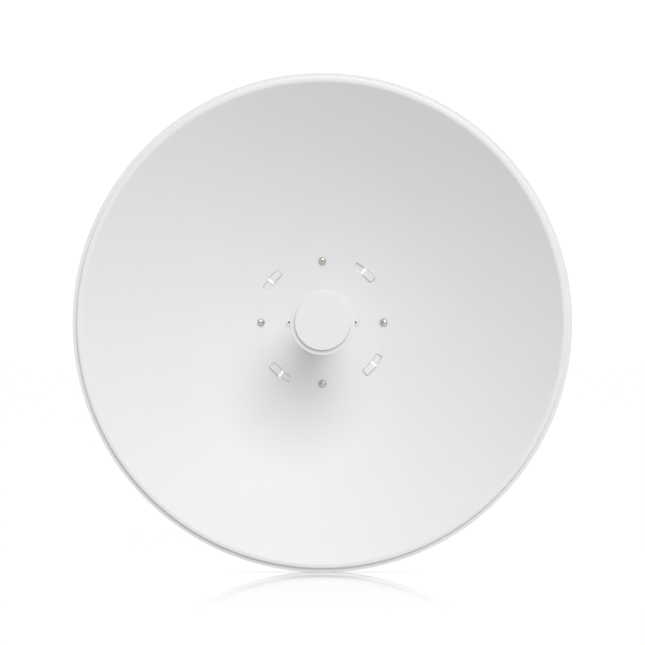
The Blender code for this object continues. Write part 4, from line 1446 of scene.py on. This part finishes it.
FLOOR_SIZE = 30.0
FLOOR_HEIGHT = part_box("reflector")[0].z
FLOOR_GLOW = 0.985
FLOOR_COLOUR = (0.02, 0.02, 0.02)
# The floor's glow where the dish is nearest: a painted contact shadow, made with ambient occlusion.
PAINTED_CONTACT_SHADOW_GLOW = 0.52
CONTACT_SHADOW_DISTANCE = 0.03
CONTACT_SHADOW_SAMPLES = 16
MIRROR_ROUGHNESS = 0.02
REFLECTION = (
    (0, 0.60), (0.050, 0.57), (0.068, 0.38), (0.10, 0.28),
    (0.16, 0.26), (0.21, 0.17), (0.31, 0.08), (0.42, 0),
)
REFLECTION_WIDTH = 3.0


def reflection_ramp(made):
    """The mirror's share, by the distance from the rim's foot and less quickly to the sides."""
    foot = made.add("ShaderNodeMapping", {
        "Vector": made.place,
        "Location": (0, VERTEX_Y - RIM_DEPTH, FLOOR_HEIGHT),
        "Scale": (REFLECTION_WIDTH, 1, 1),
    }, vector_type="TEXTURE")
    distance = made.add("ShaderNodeVectorMath", {0: foot.outputs["Vector"]}, operation="LENGTH")
    furthest = REFLECTION[-1][0]
    way = made.between(distance.outputs["Value"], 0, 1, (0, furthest))
    ramp = made.add("ShaderNodeValToRGB", {"Fac": way})
    stops = ramp.color_ramp.elements
    while len(stops) < len(REFLECTION):
        stops.new(1.0)
    for stop, (place, share) in zip(stops, REFLECTION):
        stop.position = place / furthest
        stop.color = (share, share, share, 1)
    return ramp.outputs["Color"]


def floor_finish():
    """White that mirrors most under the rim's foot, and less the further it lies from there. Its glow
    darkens where ambient occlusion finds the dish close by: a painted contact shadow.
    """
    white = (1, 1, 1, 1)
    made = Finish("floor", FLOOR_COLOUR, 1.0)
    shade = {"Distance": CONTACT_SHADOW_DISTANCE}
    # Painted contact shadow: ambient occlusion lowers the floor's glow near the dish.
    contact_occlusion = made.add("ShaderNodeAmbientOcclusion", shade, samples=CONTACT_SHADOW_SAMPLES)
    painted_shadow_glow = made.between(contact_occlusion.outputs["AO"], PAINTED_CONTACT_SHADOW_GLOW, FLOOR_GLOW, (0, 1))
    made.feed(made.shader, {"Specular IOR Level": 0.0, "Emission Color": white, "Emission Strength": painted_shadow_glow})
    mirror = made.add("ShaderNodeBsdfGlossy", {"Color": white, "Roughness": MIRROR_ROUGHNESS})
    shaders = {0: reflection_ramp(made), 1: made.shader.outputs["BSDF"], 2: mirror.outputs["BSDF"]}
    shader = made.add("ShaderNodeMixShader", shaders).outputs["Shader"]
    made.feed(made.tree.nodes["Material Output"], {"Surface": shader})
    return made


def build_floor():
    """The floor under the rim, which gives the dish no soft light and no shade."""
    shape = bmesh.new()
    bmesh.ops.create_grid(shape, x_segments=1, y_segments=1, size=FLOOR_SIZE / 2)
    floor = from_bmesh("floor", shape)
    floor.data.transform(shift(z=FLOOR_HEIGHT))
    floor.data.materials.append(floor_finish().material)
    floor.visible_diffuse = False
    floor.visible_shadow = False


build_key()
build_world()
build_floor()
bpy.context.scene.view_settings.view_transform = "Standard"
